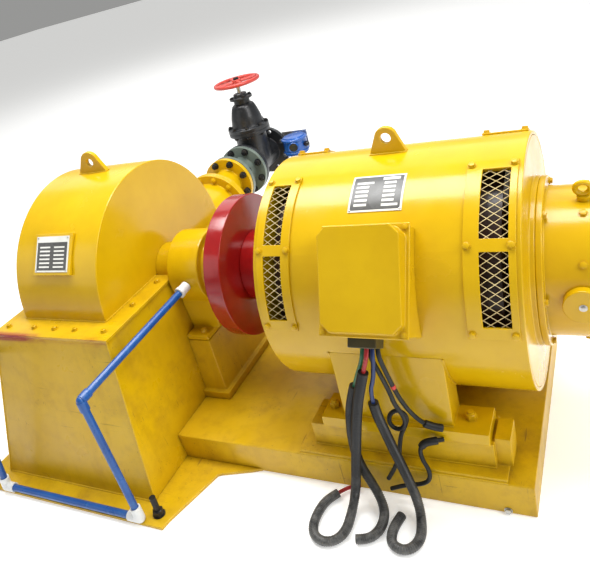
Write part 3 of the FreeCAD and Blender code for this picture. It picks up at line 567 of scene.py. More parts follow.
cordLines = makeCords()
print("cords laid:", ", ".join("%s %.0f mm" % (n, 1000 * measured(l)) for n, l in cordLines.items()))


# CAD nodes that keep their shape, with softened edges
edgeWork = {
    # node: (finish, slot, edge radius in metres)
    "generator_shell": ("shell", "shell", 0.0025),
    "vent_covers_front": ("shell", "shell", 0.0016),
    "vent_covers_rear": ("shell", "shell", 0.0016),
    "drive_end_shield": ("shell", "shell", 0.003),
    "exciter_end_shield": ("shell", "shell", 0.004),
    "front_foot": ("shell", "shell", 0.003),
    "rear_foot": ("shell", "shell", 0.003),
    "sole_rails": ("worn", "plate", 0.0025),
    "lifting_lugs": ("shell", "plate", 0.003),
    "terminal_box": ("shell", "shell", 0.004),
    "cable_spout": ("spoutDark", "shell", 0.004),
    "terminal_box_lid": ("shell", "shell", 0.004),
    "exciter_housing": ("shell", "shell", 0.003),
    "exciter_side_cap": ("shell", "shell", 0.004),
    "exciter_eye_bolt": ("shell", "shell", 0.001),
    "flywheel": ("redGloss", "wheel", 0.004),
    "coupling_hub": ("redGloss", "wheel", 0.005),
    "turbine_hood": ("shell", "shell", 0.004),
    "turbine_nameplate_pad": ("shell", "shell", 0.003),
    "casing_flange_front": ("smeared", "plate", 0.002),
    "casing_flange_rear": ("worn", "plate", 0.002),
    "turbine_casing": ("smeared", "plate", 0.003),
    "turbine_sole_plate": ("worn", "plate", 0.002),
    "base_frame": ("worn", "plate", 0.004),
    "bearing_housings": ("shell", "shell", 0.006),
    "bearing_pedestals": ("worn", "plate", 0.004),
    "shaft_seals": ("shell", "shell", 0.003),
    "nozzle_throat": ("shell", "shell", 0.003),
    "inlet_reducer": ("shell", "shell", 0.003),
    "spool_piece": ("greyGreen", "spool", 0.002),
    "gate_valve_body": ("castBlack", "valve", 0.004),
    "converter_bracket": ("galvanised", "bracket", 0.001),
    "pipe_gaskets": ("gasket", "bracket", 0.0008),
    "handwheel": ("redSatin", "handwheel", 0.003),
    "cooling_pipe": ("bluePipe", "blue_pipe", 0.002),
    "cooling_fittings": ("whiteFitting", "white_fitting", 0.002),
}
bodyOf = {"flywheel": "rotor", "coupling_hub": "rotor", "rotor_shaft": "rotor", "rotor": "rotor",
          "handwheel": "handwheel", "valve_stem": "handwheel"}
keptNodes = {"stator": "winding", "rotor": "winding", "rotor_shaft": "steel", "valve_stem": "steel",
             "generator_nameplate": "plateLight", "turbine_nameplate": "plateLight"}


def softenedCopy(node, width):
    shape = bmesh.new()
    shape.from_mesh(cadNodes[node].data)
    bmesh.ops.remove_doubles(shape, verts=shape.verts, dist=0.00002)
    bmesh.ops.dissolve_limit(shape, angle_limit=math.radians(0.7), verts=shape.verts, edges=shape.edges)
    mesh = bpy.data.meshes.new(node)
    shape.to_mesh(mesh)
    shape.free()
    mesh.polygons.foreach_set("use_smooth", [True] * len(mesh.polygons))
    mesh.set_sharp_from_angle(angle=math.radians(32))
    return applied(node, mesh, (
        "BEVEL", {"width": width, "segments": 3, "limit_method": "ANGLE", "angle_limit": math.radians(32),
                  "use_clamp_overlap": False, "miter_outer": "MITER_ARC"}), (
        "WEIGHTED_NORMAL", {"keep_sharp": False, "weight": 50, "mode": "FACE_AREA"}))


def camelName(node):
    first, *others = node.split("_")
    return first + "".join(word.capitalize() for word in others)


def softenNodes():
    for node, (finish, slot, width) in edgeWork.items():
        mesh = softenedCopy(node, width)
        keepPiece(camelName(node), mesh, paint[finish], slot, bodyOf.get(node, "root"), (node,), sharp=0)
    for node, finish in keptNodes.items():
        mesh = cadNodes[node].data
        mesh.materials.clear()
        mesh.materials.append(paint[finish])


softenNodes()
print("CAD nodes finished:", len(edgeWork) + len(keptNodes))

# Geometry Nodes trees: fasteners on points, and beads or wires along lines
def newTree(name, inputs):
    tree = bpy.data.node_groups.new(name, "GeometryNodeTree")
    tree.interface.new_socket("Geometry", in_out="INPUT", socket_type="NodeSocketGeometry")
    for title, kind, value in inputs:
        socket = tree.interface.new_socket(title, in_out="INPUT", socket_type="NodeSocket" + kind)
        if value is not None:
            socket.default_value = value
    tree.interface.new_socket("Geometry", in_out="OUTPUT", socket_type="NodeSocketGeometry")
    return tree, addNode(tree, "NodeGroupInput").outputs, addNode(tree, "NodeGroupOutput")


def sumOf(tree, operation, first, second):
    return addNode(tree, "ShaderNodeMath", {0: first, 1: second}, operation=operation).outputs[0]


def lifted(tree, geometry, height):
    offset = addNode(tree, "ShaderNodeCombineXYZ", {"Z": height}).outputs[0]
    return addNode(tree, "GeometryNodeTransform", {"Geometry": geometry, "Translation": offset}).outputs[0]


# cylinder about Z from a height upwards
def liftedCylinder(tree, sides, radius, low, height):
    shape = addNode(tree, "GeometryNodeMeshCylinder", {"Vertices": sides, "Radius": radius, "Depth": height})
    middle = sumOf(tree, "ADD", low, sumOf(tree, "MULTIPLY", height, 0.5))
    return lifted(tree, shape.outputs["Mesh"], middle)


def endTree(tree, geometry, finish, output):
    real = addNode(tree, "GeometryNodeRealizeInstances", {0: geometry}).outputs[0]
    painted = addNode(tree, "GeometryNodeSetMaterial", {"Geometry": real, "Material": finish})
    tree.links.new(painted.outputs[0], output.inputs[0])


crownShape = {"sides": 24, "foot": 0.86, "top": 0.70, "height": 0.14}  # shares of the head
sunk = 0.0004  # how far a washer reaches into its seat


def fastenerTree():
    tree, given, output = newTree("fasteners", (
        ("Sides", "Int", 6), ("Head Radius", "Float", 0.01), ("Head Height", "Float", 0.008),
        ("Washer Radius", "Float", 0.011), ("Washer Height", "Float", 0.002), ("Stud Radius", "Float", 0.005),
        ("Stud Height", "Float", 0.0), ("Seed", "Int", 1), ("Finish", "Material", None)))
    headRadius, headHeight, seat = given["Head Radius"], given["Head Height"], given["Washer Height"]
    washer = liftedCylinder(tree, 32, given["Washer Radius"], -sunk, sumOf(tree, "ADD", seat, sunk))
    head = liftedCylinder(tree, given["Sides"], headRadius, seat, headHeight)
    crown = addNode(tree, "GeometryNodeMeshCone", {
        "Vertices": crownShape["sides"],
        "Radius Bottom": sumOf(tree, "MULTIPLY", headRadius, crownShape["foot"]),
        "Radius Top": sumOf(tree, "MULTIPLY", headRadius, crownShape["top"]),
        "Depth": sumOf(tree, "MULTIPLY", headHeight, crownShape["height"])})
    crownMesh = lifted(tree, crown.outputs["Mesh"], sumOf(tree, "ADD", seat, headHeight))
    stud = liftedCylinder(tree, 20, given["Stud Radius"], 0.0, given["Stud Height"])
    joined = addNode(tree, "GeometryNodeJoinGeometry")
    for part in (washer, head, crownMesh, stud):
        tree.links.new(part, joined.inputs[0])
    axis = addNode(tree, "GeometryNodeInputNamedAttribute", {"Name": "axis"}, data_type="FLOAT_VECTOR")
    aim = {"Vector": axis.outputs[0]}
    upright = addNode(tree, "FunctionNodeAlignRotationToVector", aim, axis="Z").outputs[0]
    angles = {2: 0.0, 3: 6.2832, "Seed": given["Seed"]}
    spin = addNode(tree, "FunctionNodeRandomValue", angles, data_type="FLOAT").outputs[1]
    euler = addNode(tree, "ShaderNodeCombineXYZ", {"Z": spin}).outputs[0]
    twist = addNode(tree, "FunctionNodeEulerToRotation", {0: euler}).outputs[0]
    turns = {"Rotation": upright, "Rotate By": twist}
    turn = addNode(tree, "FunctionNodeRotateRotation", turns, rotation_space="LOCAL").outputs[0]
    placed = addNode(tree, "GeometryNodeInstanceOnPoints", {
        "Points": given["Geometry"], "Instance": joined.outputs[0], "Rotation": turn})
    endTree(tree, placed.outputs[0], given["Finish"], output)
    return tree


def beadTree():
    tree, given, output = newTree("beads", (
        ("Radius", "Float", 0.004), ("Sides", "Int", 8), ("Step", "Float", 0.004), ("Wobble", "Float", 0.0),
        ("Ripple", "Float", 160.0), ("Seed", "Float", 0.0), ("Finish", "Material", None)))
    line = addNode(tree, "GeometryNodeMeshToCurve", {"Mesh": given["Geometry"]}).outputs[0]
    steps = {"Curve": line, "Length": given["Step"]}
    spaced = addNode(tree, "GeometryNodeResampleCurve", steps, mode="LENGTH").outputs[0]
    circle = {"Resolution": given["Sides"], "Radius": given["Radius"]}
    ring = addNode(tree, "GeometryNodeCurvePrimitiveCircle", circle).outputs[0]
    sweep = {"Curve": spaced, "Profile Curve": ring, "Fill Caps": True}
    tube = addNode(tree, "GeometryNodeCurveToMesh", sweep).outputs[0]
    waves = {"W": given["Seed"], "Scale": given["Ripple"], "Detail": 2.0}
    ripple = addNode(tree, "ShaderNodeTexNoise", waves, noise_dimensions="4D").outputs[0]
    amount = sumOf(tree, "MULTIPLY", sumOf(tree, "SUBTRACT", ripple, 0.5), given["Wobble"])
    outward = addNode(tree, "GeometryNodeInputNormal").outputs[0]
    shift = addNode(tree, "ShaderNodeVectorMath", {0: outward, "Scale": amount}, operation="SCALE").outputs[0]
    rippled = addNode(tree, "GeometryNodeSetPosition", {"Geometry": tube, "Offset": shift}).outputs[0]
    endTree(tree, rippled, given["Finish"], output)
    return tree


def grown(name, tree, mesh, values):
    scratch = inScene(name, mesh)
    modifier = scratch.modifiers.new("grow", "NODES")
    modifier.node_group = tree
    for item in tree.interface.items_tree:
        if item.in_out == "INPUT" and item.name in values:
            modifier[item.identifier] = values[item.name]
    result = evaluated(name, scratch)
    scratch.modifiers.remove(modifier)
    bpy.data.objects.remove(scratch)
    return result


fasteners, beads = fastenerTree(), beadTree()


# bolts, nuts or screws at (place, axis) pairs, seated by their washers
def fasten(name, places, size, finish, slot="bolt", body="root", replaced=(), seed=1):
    mesh = meshOf(name, [place for place, _ in places], [], [])
    axes = mesh.attributes.new("axis", "FLOAT_VECTOR", "POINT")
    axes.data.foreach_set("vector", [c for _, axis in places for c in axis])
    values = {"Sides": size.get("sides", 6), "Seed": seed, "Finish": paint[finish]}
    for part in ("head", "washer", "stud"):
        values[part.capitalize() + " Radius"], values[part.capitalize() + " Height"] = size[part]
    mesh = grown(name, fasteners, mesh, values)
    return keepPiece(name, mesh, None, slot, body, replaced, sharp=30)


# weld beads or wires along polylines
def bead(name, lines, radius, finish, slot="plate", wobble=0.0, step=0.004, sides=8, body="root"):
    vertices, edges = [], []
    for line in lines:
        start = len(vertices)
        vertices += line
        edges += [(start + i, start + i + 1) for i in range(len(line) - 1)]
    mesh = meshOf(name, vertices, edges, [])
    values = {"Radius": radius, "Sides": sides, "Step": step, "Wobble": wobble, "Seed": 3.0,
              "Finish": paint[finish]}
    return keepPiece(name, grown(name, beads, mesh, values), None, slot, body, sharp=70)


# places on the object
def onShaft(x, radius, degrees):
    turn = math.radians(degrees)
    return (x, -radius * math.cos(turn), shaftHeight + radius * math.sin(turn))


def outFromShaft(degrees):
    turn = math.radians(degrees)
    return (0, -math.cos(turn), math.sin(turn))


# the same places at the front and mirrored to the rear
def bothSides(places):
    return places + [((x, -y, z), (a, -b, c)) for (x, y, z), (a, b, c) in places]


# a place on a face that leans back from the vertical, at a height up it and a distance out from the shaft
def onLeaning(x, up, out, degrees):
    turn = math.radians(degrees)
    return (x, up * math.sin(turn) - out * math.cos(turn),
            shaftHeight + up * math.cos(turn) + out * math.sin(turn))


lid = {"tilt": 35, "left": 0.265, "right": 0.526, "low": -0.258, "high": 0.062, "face": 0.466,
       "screwInset": 0.013}
lidAxis = outFromShaft(lid["tilt"])
boltSizes = {
    # (radius, height) in metres of the head, the washer and the stud that stands out
    "m10": {"head": (0.0098, 0.0062), "washer": (0.0120, 0.0022), "stud": (0.0045, 0.0)},
    "m12": {"head": (0.0110, 0.0078), "washer": (0.0130, 0.0025), "stud": (0.0055, 0.014)},
    "m16": {"head": (0.0139, 0.0100), "washer": (0.0160, 0.0030), "stud": (0.0078, 0.018)},
    "m20": {"head": (0.0173, 0.0135), "washer": (0.0200, 0.0035), "stud": (0.0098, 0.026)},
    "m20nut": {"head": (0.0173, 0.0165), "washer": (0.0185, 0.0010), "stud": (0.0098, 0.028)},
    "anchor": {"head": (0.0208, 0.0185), "washer": (0.0235, 0.0040), "stud": (0.0118, 0.084)},
    "screw": {"sides": 28, "head": (0.0075, 0.0045), "washer": (0.0098, 0.0015), "stud": (0.0030, 0.0)},
    "rivet": {"sides": 18, "head": (0.0028, 0.0010), "washer": (0.0032, 0.0006), "stud": (0.0012, 0.0)},
    "pole": {"head": (0.0105, 0.0060), "washer": (0.0128, 0.0015), "stud": (0.0050, 0.0)},
    "cap": {"sides": 28, "head": (0.0065, 0.0035), "washer": (0.0105, 0.0018), "stud": (0.0030, 0.0)},
    "wheelNut": {"head": (0.0150, 0.0100), "washer": (0.0185, 0.0015), "stud": (0.0095, 0.0)},
}
pipe = {"x": -0.848, "z": 0.617, "circle": 0.120, "stemY": 1.308}


def pipeBolts(y, direction):
    turns = [2 * math.pi * (i + 0.5) / 8 for i in range(8)]
    return [((pipe["x"] + pipe["circle"] * math.cos(t), y, pipe["z"] + pipe["circle"] * math.sin(t)),
             (0, direction, 0)) for t in turns]


# places round a circle square to X, Y or Z
def ringBolts(centre, radius, count, axis, offset=0.5):
    places = []
    for i in range(count):
        t = 2 * math.pi * (i + offset) / count
        a, b = radius * math.cos(t), radius * math.sin(t)
        step = {0: (0, a, b), 1: (a, 0, b), 2: (a, b, 0)}[[abs(c) for c in axis].index(1)]
        places.append((tuple(c + s for c, s in zip(centre, step)), axis))
    return places


def shaftRing(x, radius, count, offset=0.5, way=1):
    return ringBolts((x, 0, shaftHeight), radius, count, (way, 0, 0), offset)


boltPlaces = {
    "covers": ((0.0235, 0.1205, 0.6615, 0.7735), 0.4063, (70.4, 35.0, -0.6)),  # along X, radius, angles
    "hoodFront": ((-1.097, -0.953, -0.843, -0.738, -0.594), -0.505),
    "hoodSides": ((-0.590, -1.101), (-0.329, -0.159)),
    "hoodFlange": 0.642,
    "spoolBolts": (0.982, 1.115), "spoolNuts": (0.930, 1.167),
    "throat": ((0.740, 0.780), 0.550, 0.172, 12),  # both faces in Y, axis height, radius, count
    "bonnet": (0.829, 0.785, 0.1075, 8),  # top face, under face, radius, count
    "feet": ((0.161, -0.348, 0.265), (0.608, -0.340, 0.265)),
    "bearingCaps": ((-0.381, -1.310), 0.098),
    "bearingFeet": ((-0.455, -0.141, 0.397), (-1.236, -0.141, 0.397)),
    "anchors": ((-0.440, -0.730, 0.012), (-1.330, -0.730, 0.012)),
    "levelling": (0.704, -0.448, 0.012),
    "poles": (0.930, 0.230, (62.8, 25.4, -62.8)),
    "sideCap": (0.926, -0.255, 0.621),
    "plate": ((0.3185, 0.4715), 0.4023, (51.8, 69.2)),
}


def aboutShaft(along, radius, angles):
    return [(onShaft(x, radius, angle), outFromShaft(angle)) for x in along for angle in angles]


def makeFasteners():
    at, up, front = boltPlaces, (0, 0, 1), (0, -1, 0)
    frontX, frontY = at["hoodFront"]
    flange = [((x, frontY, at["hoodFlange"]), up) for x in frontX]
    flange += [((x, y, at["hoodFlange"]), up) for x in at["hoodSides"][0] for y in at["hoodSides"][1]]
    (inner, outer), axisHeight, throatRadius, throatCount = at["throat"]
    throat = ringBolts((pipe["x"], inner, axisHeight), throatRadius, throatCount, front)
    throat += ringBolts((pipe["x"], outer, axisHeight), throatRadius, throatCount, (0, 1, 0))
    top, under, bonnetRadius, bonnetCount = at["bonnet"]
    bonnet = ringBolts((pipe["x"], pipe["stemY"], top), bonnetRadius, bonnetCount, up)
    bonnet += ringBolts((pipe["x"], pipe["stemY"], under), bonnetRadius, bonnetCount, (0, 0, -1))
    spool = [pipeBolts(y, way) for y, way in zip(at["spoolBolts"], (1, -1))]
    nuts = [pipeBolts(y, way) for y, way in zip(at["spoolNuts"], (-1, 1))]
    inset = lid["screwInset"]
    lidCorners = [(onLeaning(x, u, lid["face"] + 0.0003, lid["tilt"]), lidAxis)
                  for x in (lid["left"] + inset, lid["right"] - inset)
                  for u in (lid["low"] + inset, lid["high"] - inset)]
    (innerCap, outerCap), capRadius = at["bearingCaps"]
    caps = shaftRing(innerCap, capRadius, 6, 0) + shaftRing(outerCap, capRadius, 6, 0, -1)
    anchors = bothSides([(place, up) for place in at["anchors"]])
    poleX, poleRadius, poleAngles = at["poles"]
    rows = (
        # name, places, size, finish, and where they differ the slot, body and replaced nodes
        ("ventCoverBolts", bothSides(aboutShaft(*at["covers"])), "m10", "bolt"),
        ("hoodFlangeBolts", bothSides(flange), "m12", "bolt"),
        ("spoolBolts", spool[0] + spool[1], "m20", "darkBolt"),
        ("spoolNuts", nuts[0] + nuts[1], "m20nut", "darkBolt"),
        ("throatFlangeBolts", throat, "m16", "bolt"),
        ("bonnetBolts", bonnet, "m12", "darkBolt"),
        ("exciterFlangeBolts", shaftRing(0.831, 0.246, 6, 0), "m10", "bolt"),
        ("exciterCoverBolts", shaftRing(1.045, 0.196, 6), "m10", "bolt"),
        ("lidScrews", lidCorners, "screw", "bolt"),
        ("footBolts", bothSides([(place, up) for place in at["feet"]]), "m20nut", "bolt"),
        ("bearingCapBolts", caps, "m10", "bolt"),
        ("bearingFootBolts", bothSides([(place, up) for place in at["bearingFeet"]]), "m16", "bolt"),
        ("anchorBolts", anchors, "anchor", "darkBolt", "steel", "root", ("anchor_bolts",)),
        ("levellingScrew", bothSides([(at["levelling"], front)]), "m10", "zincBolt"),
        ("couplingBolts", shaftRing(-0.150, 0.105, 8), "m16", "redGloss", "wheel", "rotor"),
        ("poleScrews", bothSides(aboutShaft((poleX,), poleRadius, poleAngles)), "pole", "bolt"),
        ("sideCapScrew", [(at["sideCap"], front)], "cap", "zincBolt"),
        ("generatorPlateRivets", aboutShaft(*at["plate"]), "rivet", "zincBolt"),
    )
    for seed, (name, places, size, finish, *rest) in enumerate(rows, 2):
        fasten(name, places, boltSizes[size], finish, *rest, seed=seed)


makeFasteners()
print("fasteners seated")

# wire lattice behind the vent windows
lattice = {
    "windows": (((0.033, 0.105), (37.0, 68.5)), ((0.033, 0.105), (2.0, 32.9)),
                ((0.687, 0.771), (37.0, 68.5)), ((0.687, 0.771), (2.0, 32.9))),
    "radius": 0.3975, "wire": 0.0011, "alongStep": 0.0370, "aroundStep": 0.0255,
}


def latticeLines():
    lines = []
    radius, slope = lattice["radius"], lattice["aroundStep"] / lattice["alongStep"]
    for (x0, x1), (low, high) in lattice["windows"]:
        bottom, top = math.radians(low) * radius, math.radians(high) * radius
        reach = slope * (x1 - x0)
        for direction in (1, -1):
            start = bottom - reach if direction > 0 else bottom
            while start < top + (0 if direction > 0 else reach):
                line = []
                for i in range(25):
                    x = x0 + (x1 - x0) * i / 24
                    arc = start + direction * slope * (x - x0)
                    if bottom <= arc <= top:
                        lift = 0.0005 * direction
                        line.append(onShaft(x, radius + lift, math.degrees(arc / radius)))
                if len(line) > 2:
                    lines.append(line)
                start += lattice["aroundStep"]
    return lines + [[(x, -y, z) for x, y, z in line] for line in lines]


bead("ventLattice", latticeLines(), lattice["wire"], "wire", "shell", step=0.006, sides=6)
print("vent lattice woven")

# weld beads
hood = {"left": -1.059, "right": -0.632, "half": 0.446, "top": 0.642, "seal": 0.108}
casing = {"bottom": ((-1.275, -0.490), 0.684, 0.012), "top": ((-1.137, -0.553), 0.550, 0.630)}


def straight(a, b, count=24):
    return [tuple(p + (q - p) * i / count for p, q in zip(a, b)) for i in range(count + 1)]


weld = {
    "radius": 0.0035, "wobble": 0.0035, "step": 0.003,
    "foot": (0.206, 0.562), "footRadius": 0.4005, "footAngles": (-44, -15), "footPlate": (0.386, 0.265),
    # from, to, half width, height
    "strip": (0.031, 0.712, 0.444, 0.119), "rail": (0.079, 0.676, 0.401, 0.133),
    "lug": (0.327, 0.445, 1.0305), "hoodLug": (-0.925, -0.779, 1.0765), "lugHalf": 0.011,
}


# an arc about the shaft, at the front for side -1 and at the rear for side 1
def footArc(x, side):
    places = [onShaft(x, weld["footRadius"], angle) for angle in range(*weld["footAngles"], 2)]
    return [(px, -side * py, pz) for px, py, pz in places]


def weldLines():
    z, half = hood["top"] + 0.001, hood["half"]
    footStart, footEnd = weld["foot"]
    lines = []

    def across(x0, x1, y, height, count):
        lines.append(straight((x0, y, height), (x1, y, height), count))

    for side in (-1, 1):
        across(hood["left"], hood["right"], side * half, z, 60)
        for x in (hood["left"], hood["right"]):
            lines.append(straight((x, side * half, z), (x, side * hood["seal"], z), 50))
        (left, right), bottom, low = casing["bottom"]
        (topLeft, topRight), top, high = casing["top"]
        lines.append(straight((left, side * bottom, low), (topLeft, side * top, high), 80))
        across(left, right, side * bottom, low + 0.001, 90)
        lines.append(straight((right, side * bottom, low), (topRight, side * top, high), 80))
        lines += [footArc(footStart, side), footArc(footEnd, side)]
        y, height = weld["footPlate"]
        across(footStart, footEnd, side * y, height, 50)
        for start, end, y, height in (weld["strip"], weld["rail"]):
            across(start, end, side * y, height, 90)
    for y in (-weld["lugHalf"], weld["lugHalf"]):
        across(*weld["lug"][:2], y, weld["lug"][2], 20)
        across(*weld["hoodLug"][:2], y, weld["hoodLug"][2], 24)
    return lines


bead("weldBeads", weldLines(), weld["radius"], "bolt", "plate", wobble=weld["wobble"], step=weld["step"])
print("welds laid")


# nameplates: bare fields and bars only
plateWork = {
    # along X, angles up the shell or half height, and the face's distance from the shaft
    "generator": {"x": (0.313, 0.477), "angles": (51, 70), "radius": 0.4023},
    "turbine": {"x": (-0.932, -0.762), "tilt": 35.2, "half": 0.0685, "out": 0.4580},
    "fieldLift": 0.0001, "barLift": 0.0005, "sheet": 0.0003,
}
generatorBars = [(0.10, 0.42, 0.74, 0.80), (0.58, 0.90, 0.84, 0.92), (0.62, 0.92, 0.12, 0.18)]
generatorBars += [(0.10, 0.34, v, v + 0.06) for v in (0.62, 0.50, 0.38, 0.26, 0.14)]
generatorBars += [(0.62, 0.84, v, v + 0.06) for v in (0.72, 0.60, 0.48, 0.36, 0.24)]
turbineRows = (0.12, 0.23, 0.34, 0.45, 0.56, 0.67)
turbineBars = [(u, u + 0.32, v, v + 0.045) for u in (0.12, 0.56) for v in turbineRows]


# thin patches on a surface given by at(u, v), with u and v from 0 to 1
def plateSheet(name, patches, at, finish, columns=10, rows=8):
    vertices, faces = [], []
    for u0, u1, v0, v1 in patches:
        start = len(vertices)
        for j in range(rows + 1):
            for i in range(columns + 1):
                vertices.append(at(u0 + (u1 - u0) * i / columns, v0 + (v1 - v0) * j / rows))
        for j in range(rows):
            for i in range(columns):
                a = start + j * (columns + 1) + i
                faces.append((a, a + 1, a + columns + 2, a + columns + 1))
    mesh = meshOf(name, vertices, [], faces)
    mesh = applied(name, mesh, ("SOLIDIFY", {"thickness": plateWork["sheet"], "offset": 1}))
    return keepPiece(name, mesh, paint[finish], "label", sharp=40)


def makeNameplates():
    g = plateWork["generator"]

    def onGenerator(u, v, lift=0.0):
        x = g["x"][0] + (g["x"][1] - g["x"][0]) * u
        return onShaft(x, g["radius"] + lift, g["angles"][0] + (g["angles"][1] - g["angles"][0]) * v)

    t = plateWork["turbine"]

    def onTurbine(u, v, lift=0.0):
        x = t["x"][0] + (t["x"][1] - t["x"][0]) * u
        return onLeaning(x, t["half"] * (2 * v - 1), t["out"] + lift, t["tilt"])

    # each surface with its field and bars; the field is held a little off the plate, the bars a little more
    low, high = plateWork["fieldLift"], plateWork["barLift"]
    field = (0.035, 0.965, 0.045, 0.955)
    plateSheet("generatorPlateField", [field], lambda u, v: onGenerator(u, v, low), "plateDark", 14, 10)
    plateSheet("generatorPlateBars", generatorBars, lambda u, v: onGenerator(u, v, high), "plateLight", 3, 2)
    field = (0.04, 0.96, 0.05, 0.83)
    plateSheet("turbinePlateField", [field], lambda u, v: onTurbine(u, v, low), "plateDark")
    plateSheet("turbinePlateBars", turbineBars, lambda u, v: onTurbine(u, v, high), "plateLight", 3, 2)
    corners = [(onTurbine(u, v), outFromShaft(t["tilt"])) for u in (0.04, 0.96) for v in (0.05, 0.95)]
    fasten("turbinePlateRivets", corners, boltSizes["rivet"], "zincBolt", seed=20)


makeNameplates()
print("nameplates bare")


# turned and cast pieces
# profile of (radius, place along the axis) pairs turned about an axis through the centre
def lathe(name, profile, centre, axis, segments=72):
    along = Vector(axis).normalized()
    across = along.orthogonal().normalized()
    other = along.cross(across)
    vertices, faces, rings = [], [], []
    for radius, place in profile:
        start = len(vertices)
        middle = Vector(centre) + along * place
        if radius == 0:
            vertices.append(middle)
            rings.append([start] * segments)
            continue
        for k in range(segments):
            turn = 2 * math.pi * k / segments
            vertices.append(middle + across * (radius * math.cos(turn)) + other * (radius * math.sin(turn)))
        rings.append(list(range(start, start + segments)))
    for a, b in zip(rings, rings[1:]):
        for k in range(segments):
            n = (k + 1) % segments
            corners = [a[k], a[n], b[n], b[k]]
            unique = [c for i, c in enumerate(corners) if c not in corners[:i]]
            if len(unique) > 2:
                faces.append(unique)
    mesh = meshOf(name, vertices, [], faces)
    shape = bmesh.new()
    shape.from_mesh(mesh)
    bmesh.ops.recalc_face_normals(shape, faces=shape.faces)
    shape.to_mesh(mesh)
    shape.free()
    return mesh


turned = {
    "valveBonnet": ((0, 0.807), (0.121, 0.807), (0.121, 0.827), (0.119, 0.829), (0.100, 0.829),
                    (0.095, 0.833), (0.092, 0.842), (0.090, 0.862), (0.085, 0.888), (0.076, 0.918),
                    (0.069, 0.938), (0.062, 0.951), (0.052, 0.958), (0.047, 0.963), (0.046, 0.970),
                    (0.046, 0.985), (0.050, 0.987), (0.065, 0.987), (0.066, 0.988), (0.066, 0.998),
                    (0.065, 0.999), (0.041, 0.999), (0.040, 1.000), (0.038, 1.016), (0.035, 1.019),
                    (0.0125, 1.019), (0.0125, 0.845), (0, 0.845)),
    "exciterEndCover": ((0, 1.030), (0.230, 1.030), (0.230, 1.051), (0.226, 1.055), (0.215, 1.055),
                        (0.213, 1.053), (0.211, 1.047), (0.209, 1.045), (0.183, 1.045), (0.181, 1.047),
                        (0.179, 1.053), (0.177, 1.055), (0.060, 1.055), (0, 1.055)),
    "flowConverter": ((0, 0.600), (0.066, 0.600), (0.070, 0.604), (0.070, 0.612), (0.076, 0.614),
                      (0.076, 0.622), (0.074, 0.624), (0.070, 0.625), (0.070, 0.684), (0.074, 0.685),
                      (0.076, 0.687), (0.076, 0.696), (0.074, 0.698), (0.066, 0.700), (0.062, 0.706),
                      (0.050, 0.709), (0, 0.710)),
}


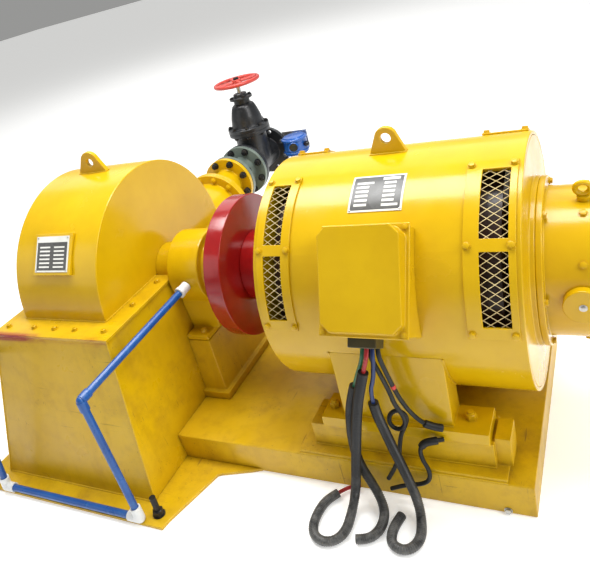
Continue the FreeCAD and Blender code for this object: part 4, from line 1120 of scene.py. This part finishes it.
def makeTurnedPieces():
    up, stem = (0, 0, 1), (pipe["x"], pipe["stemY"], 0)
    mesh = lathe("valveBonnet", turned["valveBonnet"], stem, up)
    keepPiece("valveBonnet", mesh, paint["castBlack"], "valve", replaced=("gate_valve_bonnet",), sharp=28)
    studs = ringBolts((pipe["x"], pipe["stemY"], 0.999), 0.054, 4, up)
    fasten("glandBolts", studs, boltSizes["m10"], "darkBolt", seed=21)
    mesh = lathe("exciterEndCover", turned["exciterEndCover"], (0, 0, shaftHeight), (1, 0, 0), 96)
    keepPiece("exciterEndCover", mesh, paint["shell"], "shell", replaced=("exciter_end_cover",), sharp=28)
    head = (-0.622, 1.393, 0)
    mesh = lathe("flowConverter", turned["flowConverter"], head, up, 80)
    keepPiece("flowConverter", mesh, paint["blueGloss"], "converter", replaced=("flow_converter",), sharp=28)
    lobes = ringBolts((head[0], head[1], 0.698), 0.068, 6, up)
    fasten("converterScrews", lobes, boltSizes["rivet"], "zincBolt", seed=22)
    spigot = ((0, 0), (0.030, 0), (0.030, 0.070), (0.026, 0.073), (0.026, 0.078), (0, 0.078))
    mesh = lathe("converterNeck", spigot, (head[0], 1.395, 0.655), (0, 1, 0), 40)
    keepPiece("converterNeck", mesh, paint["blueGloss"], "converter", sharp=28)
    gland = ((0, 0.066), (0.013, 0.066), (0.013, 0.078), (0.016, 0.079), (0.016, 0.088), (0.013, 0.090),
             (0.010, 0.098), (0.006, 0.100), (0, 0.100))
    mesh = lathe("converterGland", gland, (head[0], head[1], 0.655), (1, -0.25, 0), 32)
    keepPiece("converterGland", mesh, paint["blackGloss"], "converter", sharp=28)
    rim = ((0, 0.066), (0.030, 0.066), (0.030, 0.0745), (0.028, 0.0765), (0.026, 0.0765), (0.025, 0.0745),
           (0, 0.0745))
    mesh = lathe("converterWindowRim", rim, (head[0], head[1], 0.655), (0.25, -1, 0), 40)
    keepPiece("converterWindowRim", mesh, paint["blueGloss"], "converter", sharp=28)
    pane = ((0, 0.070), (0.0245, 0.070), (0.0245, 0.0752), (0, 0.0756))
    mesh = lathe("converterWindow", pane, (head[0], head[1], 0.655), (0.25, -1, 0), 40)
    keepPiece("converterWindow", mesh, paint["glass"], "converter", sharp=28)
    nut = [((pipe["x"], pipe["stemY"], 1.097), up)]
    fasten("handwheelNut", nut, boltSizes["wheelNut"], "darkBolt", "handwheel", "handwheel", seed=23)


makeTurnedPieces()
print("turned pieces made")

# collars on the cooling pipe's fittings
water = {"collar": 0.0225, "corners": (
    (-0.459, -0.150, 0.621), (-0.548, -0.752, 0.538), (-0.493, -0.772, 0.028))}


def makeCollars():
    near = [Vector(c) for c in water["corners"]]
    far = [Vector((-1.691 - c.x, c.y, c.z)) for c in near]
    shape = ((0.0142, 0.000), (0.0215, 0.000), (water["collar"], 0.0015), (water["collar"], 0.0115),
             (0.0215, 0.013), (0.0142, 0.013))
    number = 0
    for corners in (near, far):
        number += 1
        way = (corners[1] - corners[0]).normalized()
        mesh = lathe("fittingCollar%d" % number, shape + shape[:1], corners[0] + way * 0.036, tuple(way), 36)
        keepPiece("fittingCollar%d" % number, mesh, paint["whiteFitting"], "white_fitting", sharp=28)
        bend = ((0.0142, -0.004), (0.0178, -0.003), (0.0182, 0.030), (0.0174, 0.034), (0.0142, 0.035),
                (0.0142, -0.004))
        for aim in (corners[0], corners[2]):
            number += 1
            way = (aim - corners[1]).normalized()
            mesh = lathe("elbowSocket%d" % number, bend, corners[1] + way * 0.006, tuple(way), 36)
            keepPiece("elbowSocket%d" % number, mesh, paint["bluePipe"], "blue_pipe", sharp=28)


makeCollars()
print("cooling line fitted")
